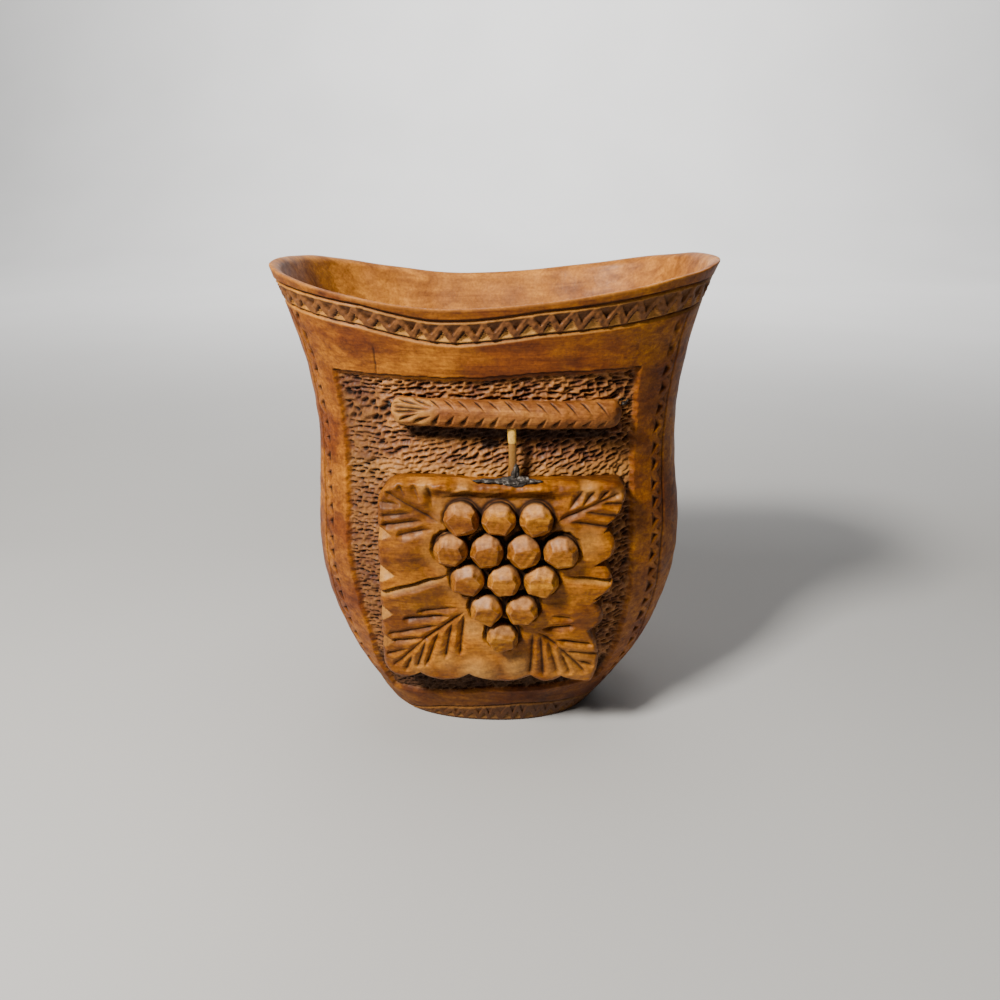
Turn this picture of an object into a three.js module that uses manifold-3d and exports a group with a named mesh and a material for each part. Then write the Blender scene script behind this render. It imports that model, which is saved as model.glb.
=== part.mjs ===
// A carved wooden cup with a bunch of grapes applied to its front. Millimetres, +Z up.
// The origin lies on the flat foot, below the body's axis, and the carved front faces -Y.
import * as THREE from 'three';
import { mergeVertices } from 'three/addons/utils/BufferGeometryUtils.js';
import Module from 'manifold-3d';

// Body, outside: half widths run along X and half depths along Y
const FOOT_HALF_WIDTH = 32.8;
const FOOT_HALF_DEPTH = 20;
const FOOT_BEVEL = 0.8;
const FOOT_SHIFT = -1.5; // the hand-cut foot stands a little to the left
const FOOT_SHIFT_FADE = 1.5; // exponent with which that shift dies out towards the belly
const BELLY_HEIGHT = 59;
const BELLY_HALF_WIDTH = 54.5;
const BELLY_HALF_DEPTH = 31.4;
const WAIST_HEIGHT = 95;
const WAIST_HALF_WIDTH = 51.4;
const WAIST_HALF_DEPTH = 29.4;
const MOUTH_HEIGHT = 130;
const MOUTH_HALF_WIDTH = 56.5;
const MOUTH_HALF_DEPTH = 36.6;
const WIDTH_FULLNESS = 2.03; // how soon the heel swells out sideways
const DEPTH_FULLNESS = 1.6; // and front to back
const FOOT_SQUARENESS = 2.22; // exponent of the oval section, 2 being an ellipse
const RIM_SQUARENESS = 2.62;
const SQUARE_HEIGHT = 117; // above this the section keeps the rim's squareness
const BOW = 1.2; // the block's axis bows this far to the right
const BOW_HEIGHT = 120;

// Rim: low at the front and back, raised at both ends
const RIM_FRONT_HEIGHT = 129.9;
const RIM_BACK_HEIGHT = 131.1;
const RIM_LEFT_HEIGHT = 138.4;
const RIM_RIGHT_HEIGHT = 139.5;
const RIM_LOW_PLACE = -0.19; // lowest point, as a share of the half width
const RIM_CURVE = 1.65;
const LIP_ROUNDING = 0.5;
const LIP_WALL = 2.2;
const LIP_SLOPE = 1.2; // the lip's inner edge lies this far below its outer edge

// Body, inside
const BODY_WALL = 7;
const WALL_TAPER = 34; // the wall grows to full thickness this far below the lip
const FLOOR_THICKNESS = 14;
const FLOOR_ROUNDING = 10;

// Carved border round the rim, between two grooves
const GROOVE_DEPTH = 0.55;
const GROOVE_STEEP = 0.25; // width of a groove's steep upper side
const GROOVE_WIDTH = 1.15;
const RIM_BAND_DROP = 2.4; // plain lip above the upper groove
const RIM_BAND_WIDTH = 6; // from one groove to the other
const RIM_CHIPS = 58; // in each of the border's two rows
const RIM_CHIP_DEPTH = 0.95;
const LOWER_CHIP_REACH = 0.55; // height of a chip, as a share of the border's field
const UPPER_CHIP_REACH = 0.6;
const CHIP_HALF_BASE = 0.4; // of a chip's pitch
const CHIP_DEEPEST = 0.8; // where a chip is deepest, as a share of its height from its base

// Carved borders down the four corners: [height, share of the half width] of their middles
const CORNER_LEFT = [[25, 0.89], [49, 0.885], [66, 0.879], [86, 0.901], [105, 0.906], [125, 0.885]];
const CORNER_RIGHT = [[25, 0.889], [37, 0.858], [59, 0.84], [81, 0.86], [102, 0.881], [125, 0.871]];
const CORNER_LEFT_FIRST = 121; // height of the topmost chip, and the chips' pitch
const CORNER_LEFT_PITCH = 4.9;
const CORNER_RIGHT_FIRST = 118.5;
const CORNER_RIGHT_PITCH = 5.3;
const CORNER_HALF_WIDTH = 1.9;
const CORNER_CHIP_REACH = 0.62; // of the border's width
const CORNER_CHIP_DEPTH = 0.85;
const CORNER_BOTTOM = 16;

// Sunk front panel: its sides as [height, left and right share of the half width], and its
// ends as [x, rise above its mean bottom or top]
const PANEL_DEPTH = 1.8;
const PANEL_TOP_DROP = 16.6; // below the rim's front
const PANEL_BOTTOM = 12.5;
const PANEL_SIDES = [
  [20, 0.785, 0.79],
  [31, 0.747, 0.767],
  [43, 0.756, 0.738],
  [66, 0.77, 0.715],
  [90, 0.783, 0.727],
  [100, 0.782, 0.744],
  [109, 0.775, 0.728],
];
const PANEL_TOP_EDGE = [[-40.7, -0.2], [-11.4, -0.7], [-1.5, -0.6], [14.7, 0.9], [38.6, 1.5]];
const PANEL_BOTTOM_EDGE = [[-31, -3.8], [-10.6, -1.1], [0, 1.4], [15.2, 1.7], [34, 3.2]];

// Applied pieces
const SEAT_GAP = 0.3; // glue line between two wooden pieces
const BRANCH_RADIUS = 3.6;
const BRANCH_LEFT = -24.6;
const BRANCH_RIGHT = 34.4;
const BRANCH_DROP = 10.1; // axis below the panel's top edge
const BRANCH_FLAT = 1; // planed off the branch's back
const BRANCH_END_ROUNDING = 3;
const BRANCH_END_FALL = 0.92; // how nearly its ends are rounded down to a point
const STEM_PLACE = 6.5; // X of the stem
const STEM_WIDTH = 2.1;
const STEM_THICKNESS = 1.8;
const STEM_SOCKET_DEPTH = 2;
const STEM_SOCKET_ROOM = 1.2; // how much wider each socket is than the stem
const STEM_TOP_FORWARD = 0.6; // its top stands this far in front of the branch's axis
const STEM_FOOT_SHARE = 0.75; // its foot lies this far back into the plaque's top edge
const STEM_BOW = 0.9; // the splint bends forward between its ends
const PLAQUE_MARGIN = 10; // above the panel's bottom edge
const PLAQUE_HEIGHT = 63.4;
const PLAQUE_TOP_STAND = 3.2; // how far it stands out past the cup's own surface
const PLAQUE_BOTTOM_STAND = 5.7;
const PLAQUE_CROWN = 0.4; // share of the cup's own curve that its face follows
const GRAPE_WIDTH = 9;
const GRAPE_STAND = 4.8;
const GRAPE_FACETS = 8;
// A grape's outline from its seat to its front, as shares of its half width and of its stand
const GRAPE_OUTLINE = [[1, 0.35], [0.92, 0.7], [0.55, 1], [0, 1]];
const GRAPE_SEAT_SHARE = 0.88; // half width at its seat, as a share
const SHANK_WIDTH = 3.2;
const SHANK_LENGTH = 3;
// Each row of grapes: how many, middle X, height above the plaque's bottom edge, spacing
const GRAPE_ROWS = [
  [3, 3.3, 53.5, 9.8],
  [4, 5.1, 44.6, 9.7],
  [3, 4.8, 36.3, 9.9],
  [2, 4.8, 27.5, 9.6],
  [1, 4.3, 18.3, 9.6],
];
// The plaque's lobed edge, clockwise from its left side's upper end: each lobe ends at
// [x, height above the bottom edge] and bulges outward by the third number
const PLAQUE_LOBES = [
  [-23.8, 62.8, 1.8],
  [-3.2, 63.1, 0.5],
  [33.2, 62.9, 0.3],
  [36.4, 59.6, 0.9],
  [31.8, 49.9, 0.9],
  [31.1, 40.5, 2.8],
  [29.7, 28.5, 3.6],
  [28.7, 18.7, 2.9],
  [29.8, 0, 2.3],
  [21.4, 2.6, 0.7],
  [12.6, 2.7, 2],
  [-5.6, 2.9, 2.4],
  [-20.3, 2.4, 2.7],
  [-27.9, 0.8, 1.2],
  [-30.6, 5.4, 0.5],
  [-29.2, 54.5, 0],
];
// Cuts in the plaque's face, each from [x, height above the bottom edge] to the like, where it
// runs out: first a leaf's midrib, then its side veins
const VEIN_HALF_WIDTH = 1;
const VEIN_DEPTH = 0.85;
const VEIN_END_DEPTH = 0.3;
const UPPER_LEFT_VEINS = [
  [-26.8, 59.4, -13, 51.8],
  [-28.8, 56.4, -21.9, 56.3], [-28.6, 52.7, -19, 54.3], [-28.3, 50, -16.8, 52.1],
  [-24, 47.5, -14.2, 50],
  [-23.2, 61.7, -21.3, 57.7], [-19.4, 61.7, -17.6, 57.4], [-15.5, 61.8, -14.3, 55.8],
];
const UPPER_RIGHT_VEINS = [
  [34.6, 59.9, 18.6, 52.5],
  [36, 57, 28.6, 57.2], [34.8, 53.7, 24.6, 55.3], [33.5, 50.6, 22, 52.4],
  [31.7, 60.7, 28.7, 57.5], [28, 60.5, 25, 56.5], [25, 60.7, 21.5, 55.7],
];
const LOWER_LEFT_VEINS = [
  [-27.4, 4.9, -6.3, 25.2],
  [-19.2, 24.7, -8.2, 26.5], [-23.4, 21.7, -10, 23.7], [-28.2, 16.3, -13.2, 20.3],
  [-27.4, 13.7, -17.8, 15.8], [-29.2, 8.8, -22.4, 11.8],
  [-7.9, 10.5, -6.5, 24.5], [-12.2, 8.9, -9.9, 21.5], [-17.9, 5.8, -13.6, 18.5],
  [-20.6, 4.9, -17.5, 14.9], [-24.1, 3.1, -21.7, 9.7],
];
const LOWER_RIGHT_VEINS = [
  [27.9, 4.3, 14, 19.1],
  [23.6, 23.4, 17.6, 24.4], [24, 20.7, 15.1, 20], [29.4, 14.4, 18.8, 16.4],
  [31.4, 10.6, 21.4, 12.3], [30.2, 6.5, 24.6, 8.9],
  [12.1, 3.9, 12.8, 18.7], [15.9, 3.3, 14.9, 18.1], [20.1, 3.7, 17, 16.3],
  [23.6, 3.9, 20.5, 12.3],
];
const SIDE_GROOVES = [[-31.5, 29.9, -11, 36.7], [33.6, 35.7, 22.5, 37.1]];
// The hollow below the plaque's rolled top edge
const HOLLOW_LEFT = -14.5;
const HOLLOW_RIGHT = 18;
const HOLLOW_TOP = 60.6;
const HOLLOW_STEEP = 1;
const HOLLOW_BOTTOM = 54.4;
const HOLLOW_DEPTH = 1.1;

// Fineness of the meshes
const SECTION_STEPS = 68;
const BODY_STEPS = 17;
const ARC_STEPS = 720; // for measuring along the section
const BRANCH_SIDES = 14;
const BRANCH_STEPS = 16;
const STEM_SIDES = 8;
const STEM_STEPS = 8;
const SOCKET_SIDES = 12;
const FACE_STEPS = 12;
const LOBE_STEPS = 4;
const WALL_STEPS = [0, 0.2, 0.5, 1]; // down the inside, where the wall thickens
const INSIDE_STEPS = 6;
const FLOOR_STEPS = 4;
const WELD = 1e-4; // points closer than this are one
const CUT_PAST = 1; // how far a cutting tool runs past the surface it cuts
const BLANK_MARGIN = 3; // how far the plaque's blank runs past its outline

const wasm = await Module();
wasm.setup();

const PANEL_TOP = RIM_FRONT_HEIGHT - PANEL_TOP_DROP;
const BRANCH_HEIGHT = PANEL_TOP - BRANCH_DROP;
const PLAQUE_BOTTOM = PANEL_BOTTOM + PLAQUE_MARGIN;
const PLAQUE_TOP = PLAQUE_BOTTOM + PLAQUE_HEIGHT;

const share = (value) => Math.min(1, Math.max(0, value));
const ease = (value) => (1 - Math.cos(Math.PI * share(value))) / 2;
const mix = (from, to, value) => from + (to - from) * value;
const steps = (count) => Array.from({ length: count + 1 }, (_, i) => i / count);

// Half width or half depth of the body at a height, through its foot, belly, waist and mouth
function profile(height, foot, belly, waist, mouth, fullness) {
  if (height < BELLY_HEIGHT) {
    return mix(foot, belly, 1 - (1 - share(height / BELLY_HEIGHT)) ** fullness);
  }
  if (height < WAIST_HEIGHT) {
    return mix(belly, waist, ease((height - BELLY_HEIGHT) / (WAIST_HEIGHT - BELLY_HEIGHT)));
  }
  return mix(waist, mouth, ((height - WAIST_HEIGHT) / (MOUTH_HEIGHT - WAIST_HEIGHT)) ** 2);
}

const halfWidth = (height) => profile(
  height, FOOT_HALF_WIDTH, BELLY_HALF_WIDTH, WAIST_HALF_WIDTH, MOUTH_HALF_WIDTH, WIDTH_FULLNESS,
);
const halfDepth = (height) => profile(
  height, FOOT_HALF_DEPTH, BELLY_HALF_DEPTH, WAIST_HALF_DEPTH, MOUTH_HALF_DEPTH, DEPTH_FULLNESS,
);
const squareness = (height) => mix(FOOT_SQUARENESS, RIM_SQUARENESS, share(height / SQUARE_HEIGHT));

// X of the section's middle at a height
function middle(height) {
  const lean = FOOT_SHIFT * share(1 - height / BELLY_HEIGHT) ** FOOT_SHIFT_FADE;
  return lean + BOW * Math.sin(Math.PI * share(height / BOW_HEIGHT));
}

// A cosine or sine drawn out towards a square by the section's exponent
const squared = (value, power) => Math.sign(value) * Math.abs(value) ** (2 / power);

// A point of the body's outside, moved out by an offset
function outside(angle, height, offset = 0) {
  const power = squareness(height);
  return [
    middle(height) + (halfWidth(height) + offset) * squared(Math.cos(angle), power),
    (halfDepth(height) + offset) * squared(Math.sin(angle), power),
    height,
  ];
}

// Y of the body's front at a place across it
function frontOf(x, height, offset = 0) {
  const power = squareness(height);
  const across = share(Math.abs(x - middle(height)) / (halfWidth(height) + offset));
  return -(halfDepth(height) + offset) * (1 - across ** power) ** (1 / power);
}

// Height of the saddle-shaped rim at an angle of the section
function rimHeight(angle) {
  const across = squared(Math.cos(angle), RIM_SQUARENESS);
  const away = across - RIM_LOW_PLACE;
  const reach = Math.abs(away) / (1 - Math.sign(away) * RIM_LOW_PLACE);
  const low = mix(RIM_FRONT_HEIGHT, RIM_BACK_HEIGHT, (1 + Math.sin(angle)) / 2);
  const tip = mix(RIM_LEFT_HEIGHT, RIM_RIGHT_HEIGHT, (1 + across) / 2);
  return mix(low, tip, reach ** RIM_CURVE);
}

// Angle of the section, on the front, at a share of the half width
function frontAngle(shareAcross, height) {
  const power = squareness(height);
  return -Math.acos(Math.sign(shareAcross) * Math.abs(shareAcross) ** (power / 2));
}

// A value between the rows of a list of [height, value], by height
function between(rows, height) {
  const after = Math.max(1, rows.findIndex((row) => row[0] >= height));
  const [low, high] = [rows[after - 1], rows[after]];
  return mix(low[1], high[1], (height - low[0]) / (high[0] - low[0]));
}

const ANGLES = steps(SECTION_STEPS).slice(0, -1).map((step) => -Math.PI + 2 * Math.PI * step);
const BAND_BOTTOM = RIM_BAND_DROP + RIM_BAND_WIDTH + GROOVE_WIDTH;
const BODY_HEIGHTS = steps(BODY_STEPS).map(
  (step) => mix(FOOT_BEVEL, RIM_FRONT_HEIGHT - BAND_BOTTOM - LIP_ROUNDING, step),
);

// A closed solid through rings of as many points each, with both ends closed by a fan
function ringSolid(rings) {
  const count = rings[0].length;
  const ends = [rings[0], rings.at(-1)].map((ring) => [0, 1, 2].map(
    (axis) => ring.reduce((sum, point) => sum + point[axis], 0) / count,
  ));
  const points = [...rings.flat(), ...ends];
  const first = points.length - 2;
  const last = points.length - 1;
  const faces = [];
  for (let side = 0; side < count; side += 1) {
    const next = (side + 1) % count;
    for (let row = 0; row < rings.length - 1; row += 1) {
      const low = row * count;
      const high = low + count;
      faces.push(low + side, low + next, high + next, low + side, high + next, high + side);
    }
    const top = (rings.length - 1) * count;
    faces.push(first, next, side, last, top + side, top + next);
  }
  const geometry = new THREE.BufferGeometry();
  geometry.setAttribute('position', new THREE.Float32BufferAttribute(points.flat(), 3));
  geometry.setIndex(faces);
  return geometry;
}

function toManifold(geometry) {
  const bare = geometry.clone();
  bare.deleteAttribute('normal');
  bare.deleteAttribute('uv');
  const merged = mergeVertices(bare, WELD);
  return new wasm.Manifold(new wasm.Mesh({
    numProp: 3,
    vertProperties: new Float32Array(merged.attributes.position.array),
    triVerts: new Uint32Array(merged.index.array),
  }));
}

function toGeometry(solid) {
  const mesh = solid.getMesh();
  const geometry = new THREE.BufferGeometry();
  geometry.setAttribute('position', new THREE.BufferAttribute(mesh.vertProperties, 3));
  geometry.setIndex(new THREE.BufferAttribute(mesh.triVerts, 1));
  return geometry;
}

const level = (height, offset = 0) => ANGLES.map((angle) => outside(angle, height, offset));
const below = (drop, offset = 0) => ANGLES.map(
  (angle) => outside(angle, rimHeight(angle) - drop, offset),
);

// The body's outside, up to above the panel, moved in by an offset
function core(offset) {
  return toManifold(ringSolid(BODY_HEIGHTS.map((height) => level(height, offset))));
}

// A shape in X and Z, drawn out towards the front
function standing(shape, depth) {
  const options = { depth, bevelEnabled: false, curveSegments: LOBE_STEPS };
  return new THREE.ExtrudeGeometry(shape, options).rotateX(Math.PI / 2);
}

// What is cut away in front of the sunk panel
function panelCut() {
  const side = (height, across) => [middle(height) + across * halfWidth(height), height];
  const corners = [
    ...PANEL_BOTTOM_EDGE.map(([x, rise]) => [x, PANEL_BOTTOM + rise]),
    ...PANEL_SIDES.map(([height, , right]) => side(height, right)),
    ...PANEL_TOP_EDGE.map(([x, rise]) => [x, PANEL_TOP + rise]).reverse(),
    ...PANEL_SIDES.map(([height, left]) => side(height, -left)).reverse(),
  ];
  const shape = new THREE.Shape(corners.map(([x, z]) => new THREE.Vector2(x, z)));
  return toManifold(standing(shape, MOUTH_HALF_DEPTH)).subtract(core(-PANEL_DEPTH));
}

// A three-cornered chip. Its corners and its deepest point are [angle, height]
function chip(corners, deepest, depth) {
  return wasm.Manifold.hull([
    ...corners.map(([angle, height]) => outside(angle, height)),
    ...corners.map(([angle, height]) => outside(angle, height, CUT_PAST)),
    outside(...deepest, -depth),
  ]);
}

// Places along the section at a height: the angle at a distance from the front's middle
function measure(height) {
  const angles = steps(ARC_STEPS).map((step) => -Math.PI + 2 * Math.PI * step);
  const points = angles.map((angle) => outside(angle, height));
  const arcs = [0];
  for (let i = 1; i < points.length; i += 1) {
    const [x, y] = points[i];
    arcs.push(arcs[i - 1] + Math.hypot(x - points[i - 1][0], y - points[i - 1][1]));
  }
  const girth = arcs.at(-1);
  const front = arcs[ARC_STEPS / 4];
  const angleAt = (distance) => {
    const wanted = (((front + distance) % girth) + girth) % girth;
    const after = Math.max(1, arcs.findIndex((arc) => arc >= wanted));
    const part = (wanted - arcs[after - 1]) / (arcs[after] - arcs[after - 1]);
    return mix(angles[after - 1], angles[after], part);
  };
  return { girth, angleAt };
}

// Two rows of chips that face each other, with a zigzag ridge left between them
function rimChips() {
  const { girth, angleAt } = measure(RIM_FRONT_HEIGHT - RIM_BAND_DROP - RIM_BAND_WIDTH / 2);
  const pitch = girth / RIM_CHIPS;
  const top = RIM_BAND_DROP + GROOVE_WIDTH;
  const bottom = RIM_BAND_DROP + RIM_BAND_WIDTH;
  const row = (place, base, tip) => {
    const half = CHIP_HALF_BASE * pitch;
    const at = (distance, drop) => {
      const angle = angleAt(distance);
      return [angle, rimHeight(angle) - drop];
    };
    const corners = [at(place - half, base), at(place + half, base), at(place, tip)];
    return chip(corners, at(place, mix(base, tip, CHIP_DEEPEST)), RIM_CHIP_DEPTH);
  };
  return steps(RIM_CHIPS).slice(1).flatMap((step) => [
    row(girth * step, bottom, bottom - (bottom - top) * LOWER_CHIP_REACH),
    row(girth * step + pitch / 2, top, top + (bottom - top) * UPPER_CHIP_REACH),
  ]);
}

// A row of chips down one corner. side is -1 on the left, and face is -1 at the front
function cornerChips(side, face) {
  const [rows, first, pitch] = side < 0
    ? [CORNER_LEFT, CORNER_LEFT_FIRST, CORNER_LEFT_PITCH]
    : [CORNER_RIGHT, CORNER_RIGHT_FIRST, CORNER_RIGHT_PITCH];
  const count = Math.floor((first - CORNER_BOTTOM) / pitch);
  const width = 2 * CORNER_HALF_WIDTH;
  return steps(count).map((step) => {
    const height = first - count * pitch * step;
    const at = (fromInner, rise) => {
      const place = side * between(rows, height + rise);
      const angle = -face * frontAngle(place, height + rise);
      const [x, y] = outside(angle, height + rise);
      const [nextX, nextY] = outside(angle + side * face / ARC_STEPS, height + rise);
      const turn = side * face / ARC_STEPS / Math.hypot(nextX - x, nextY - y);
      return [angle + turn * (CORNER_HALF_WIDTH - fromInner), height + rise];
    };
    const half = CHIP_HALF_BASE * pitch;
    const reach = width * CORNER_CHIP_REACH;
    return chip(
      [at(0, -half), at(0, half), at(reach, 0)],
      at(reach * CHIP_DEEPEST, 0),
      CORNER_CHIP_DEPTH,
    );
  });
}

// The body: outside rings up to the lip, then inside rings down to the rounded floor
function cupBody() {
  const fieldTop = RIM_BAND_DROP + GROOVE_WIDTH;
  const fieldBottom = RIM_BAND_DROP + RIM_BAND_WIDTH;
  const outer = [
    level(0, -FOOT_BEVEL),
    ...BODY_HEIGHTS.map((height) => level(height)),
    below(BAND_BOTTOM),
    below(fieldBottom + GROOVE_STEEP, -GROOVE_DEPTH),
    below(fieldBottom),
    below(fieldTop),
    below(RIM_BAND_DROP + GROOVE_STEEP, -GROOVE_DEPTH),
    below(RIM_BAND_DROP),
    below(LIP_ROUNDING),
    below(0, -LIP_ROUNDING),
  ];
  const wallAt = (drop) => mix(LIP_WALL, BODY_WALL, ease((drop - LIP_SLOPE) / WALL_TAPER));
  const upper = WALL_STEPS.map((step) => {
    const drop = LIP_SLOPE + WALL_TAPER * step;
    return below(drop, -wallAt(drop));
  });
  const floorStart = FLOOR_THICKNESS + FLOOR_ROUNDING;
  const wallEnd = RIM_FRONT_HEIGHT - LIP_SLOPE - WALL_TAPER;
  const lower = steps(INSIDE_STEPS).slice(1).map(
    (step) => level(mix(wallEnd, floorStart, step), -BODY_WALL),
  );
  const floor = steps(FLOOR_STEPS).slice(1).map((step) => {
    const turn = step * Math.PI / 2;
    const height = floorStart - FLOOR_ROUNDING * Math.sin(turn);
    return level(height, -BODY_WALL - FLOOR_ROUNDING * (1 - Math.cos(turn)));
  });
  const blank = toManifold(ringSolid([...outer, ...upper, ...lower, ...floor]));
  const chips = wasm.Manifold.union([
    ...rimChips(),
    ...[-1, 1].flatMap((side) => [...cornerChips(side, -1), ...cornerChips(side, 1)]),
  ]);
  return toGeometry(blank.subtract(panelCut()).subtract(chips));
}

// Y of the plaque's face
function plaqueFace(x, height) {
  const down = share((PLAQUE_TOP - height) / PLAQUE_HEIGHT);
  const stand = mix(PLAQUE_TOP_STAND, PLAQUE_BOTTOM_STAND, down ** 2);
  const depth = halfDepth(height);
  return -depth - stand + PLAQUE_CROWN * (frontOf(x, height) + depth);
}

// The outward direction of the plaque's face at a place
function plaqueNormal(x, height) {
  const reach = 0.5;
  const across = plaqueFace(x + reach, height) - plaqueFace(x - reach, height);
  const upward = plaqueFace(x, height + reach) - plaqueFace(x, height - reach);
  return new THREE.Vector3(across, -2 * reach, upward).normalize();
}

// The plaque's lobed outline, cut right through along Y
function plaqueOutline(depth) {
  const start = PLAQUE_LOBES.at(-1);
  const outline = new THREE.Shape();
  outline.moveTo(start[0], PLAQUE_BOTTOM + start[1]);
  let [fromX, fromHeight] = start;
  for (const [x, height, bulge] of PLAQUE_LOBES) {
    const pull = 2 * bulge / Math.hypot(x - fromX, height - fromHeight);
    outline.quadraticCurveTo(
      (fromX + x) / 2 + (fromHeight - height) * pull,
      PLAQUE_BOTTOM + (fromHeight + height) / 2 + (x - fromX) * pull,
      x,
      PLAQUE_BOTTOM + height,
    );
    fromX = x;
    fromHeight = height;
  }
  return standing(outline, depth);
}

// A V-shaped cut in the plaque's face, which runs out from its deep first end to its second
function veinCut([startX, startRise, endX, endRise]) {
  const length = Math.hypot(endX - startX, endRise - startRise);
  const widen = VEIN_HALF_WIDTH * (CUT_PAST + VEIN_DEPTH) / VEIN_DEPTH / length;
  const sideX = (startRise - endRise) * widen;
  const sideZ = (endX - startX) * widen;
  const end = (x, rise, depth) => {
    const height = PLAQUE_BOTTOM + rise;
    const face = plaqueFace(x, height);
    return [
      [x + sideX, face - CUT_PAST, height + sideZ],
      [x - sideX, face - CUT_PAST, height - sideZ],
      [x, face + depth, height],
    ];
  };
  return wasm.Manifold.hull([
    ...end(startX, startRise, VEIN_DEPTH),
    ...end(endX, endRise, VEIN_END_DEPTH),
  ]);
}

// The long hollow below the plaque's rolled top edge: steep above, gentle below
function hollowCut() {
  const section = [
    [HOLLOW_TOP, -CUT_PAST],
    [HOLLOW_TOP, 0],
    [HOLLOW_TOP - HOLLOW_STEEP, HOLLOW_DEPTH],
    [HOLLOW_BOTTOM, 0],
    [HOLLOW_BOTTOM, -CUT_PAST],
  ];
  return wasm.Manifold.hull([HOLLOW_LEFT, HOLLOW_RIGHT].flatMap((x) => section.map(
    ([rise, depth]) => [
      x,
      plaqueFace(x, PLAQUE_BOTTOM + rise) + depth,
      PLAQUE_BOTTOM + rise,
    ],
  )));
}

// A block with the plaque's curved face in front
function plaqueBlank(margin) {
  const left = Math.min(...PLAQUE_LOBES.map(([x]) => x)) - margin;
  const right = Math.max(...PLAQUE_LOBES.map(([x]) => x)) + margin;
  const across = steps(FACE_STEPS).map((step) => mix(left, right, step));
  return ringSolid(steps(FACE_STEPS).map((step) => {
    const height = mix(PLAQUE_BOTTOM - margin, PLAQUE_TOP + margin, step);
    return [
      ...across.map((x) => [x, plaqueFace(x, height), height]),
      [right, 0, height],
      [left, 0, height],
    ];
  }));
}

// Where each grape's head meets the plaque, and the way its shank points out
function grapeSeats() {
  return GRAPE_ROWS.flatMap(([count, middleX, rise, spacing]) => Array.from(
    { length: count },
    (_, i) => {
      const x = middleX + (i - (count - 1) / 2) * spacing;
      const height = PLAQUE_BOTTOM + rise;
      return {
        place: new THREE.Vector3(x, plaqueFace(x, height), height),
        turn: new THREE.Quaternion().setFromUnitVectors(
          new THREE.Vector3(0, 1, 0),
          plaqueNormal(x, height),
        ),
      };
    },
  ));
}

// A faceted head on a round shank, standing along +Y with its seat at Y = 0
function grapePeg() {
  const radius = GRAPE_WIDTH / 2;
  const profilePoints = [
    [0, -SHANK_LENGTH],
    [SHANK_WIDTH / 2, -SHANK_LENGTH],
    [SHANK_WIDTH / 2, SEAT_GAP],
    [radius * GRAPE_SEAT_SHARE, SEAT_GAP],
    ...GRAPE_OUTLINE.map(([across, forward]) => [radius * across, GRAPE_STAND * forward]),
  ].map(([x, y]) => new THREE.Vector2(x, y));
  return new THREE.LatheGeometry(profilePoints, GRAPE_FACETS);
}

// A round socket from Y = -depth to past the surface, standing along +Y
function socket(width, depth, mouth) {
  const length = depth + mouth;
  const geometry = new THREE.CylinderGeometry(width / 2, width / 2, length, SOCKET_SIDES);
  return geometry.translate(0, (mouth - depth) / 2, 0);
}

const branchY = (x) => frontOf(x, BRANCH_HEIGHT, -PANEL_DEPTH) - BRANCH_RADIUS + BRANCH_FLAT;
const BRANCH_UNDERSIDE = BRANCH_HEIGHT - BRANCH_RADIUS;
const STEM_TOP = new THREE.Vector3(
  STEM_PLACE,
  branchY(STEM_PLACE) - STEM_TOP_FORWARD,
  BRANCH_UNDERSIDE + STEM_SOCKET_DEPTH - SEAT_GAP,
);
const STEM_FOOT = new THREE.Vector3(
  STEM_PLACE,
  plaqueFace(STEM_PLACE, PLAQUE_TOP) + PLAQUE_TOP_STAND * STEM_FOOT_SHARE,
  PLAQUE_TOP - STEM_SOCKET_DEPTH + SEAT_GAP,
);

// A point on the splint's middle line, from its foot to its top
function stemLine(step) {
  const point = STEM_FOOT.clone().lerp(STEM_TOP, step);
  point.y -= STEM_BOW * Math.sin(Math.PI * step);
  return point;
}

function vineStem() {
  return ringSolid(steps(STEM_STEPS).map((step) => {
    const centre = stemLine(step);
    return steps(STEM_SIDES).slice(0, -1).map((part) => [
      centre.x + STEM_WIDTH / 2 * Math.cos(2 * Math.PI * part),
      centre.y + STEM_THICKNESS / 2 * Math.sin(2 * Math.PI * part),
      centre.z,
    ]);
  }));
}

// Upright hole for one end of the stem, at a height and as deep as the stem's end needs
function stemSocket(centre, from, to) {
  const width = Math.max(STEM_WIDTH, STEM_THICKNESS) + STEM_SOCKET_ROOM;
  const length = to - from;
  return toManifold(
    new THREE.CylinderGeometry(width / 2, width / 2, length, SOCKET_SIDES)
      .rotateX(Math.PI / 2)
      .translate(centre.x, centre.y, from + length / 2),
  );
}

function grapeBranch(ground) {
  const length = BRANCH_RIGHT - BRANCH_LEFT;
  const rounded = (step) => {
    const fromEnd = Math.min(step, 1 - step) * length;
    const inRounding = 1 - share(fromEnd / BRANCH_END_ROUNDING);
    return BRANCH_RADIUS * Math.sqrt(1 - BRANCH_END_FALL * inRounding ** 2);
  };
  const blank = ringSolid(steps(BRANCH_STEPS).map((step) => {
    const along = ease(step);
    const x = mix(BRANCH_LEFT, BRANCH_RIGHT, along);
    const radius = rounded(along);
    return steps(BRANCH_SIDES).slice(0, -1).map((part) => [
      x,
      branchY(x) + radius * Math.cos(2 * Math.PI * part),
      BRANCH_HEIGHT + radius * Math.sin(2 * Math.PI * part),
    ]);
  }));
  const hole = stemSocket(
    STEM_TOP,
    BRANCH_UNDERSIDE - CUT_PAST,
    BRANCH_UNDERSIDE + STEM_SOCKET_DEPTH,
  );
  return toGeometry(toManifold(blank).subtract(ground).subtract(hole));
}

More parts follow.
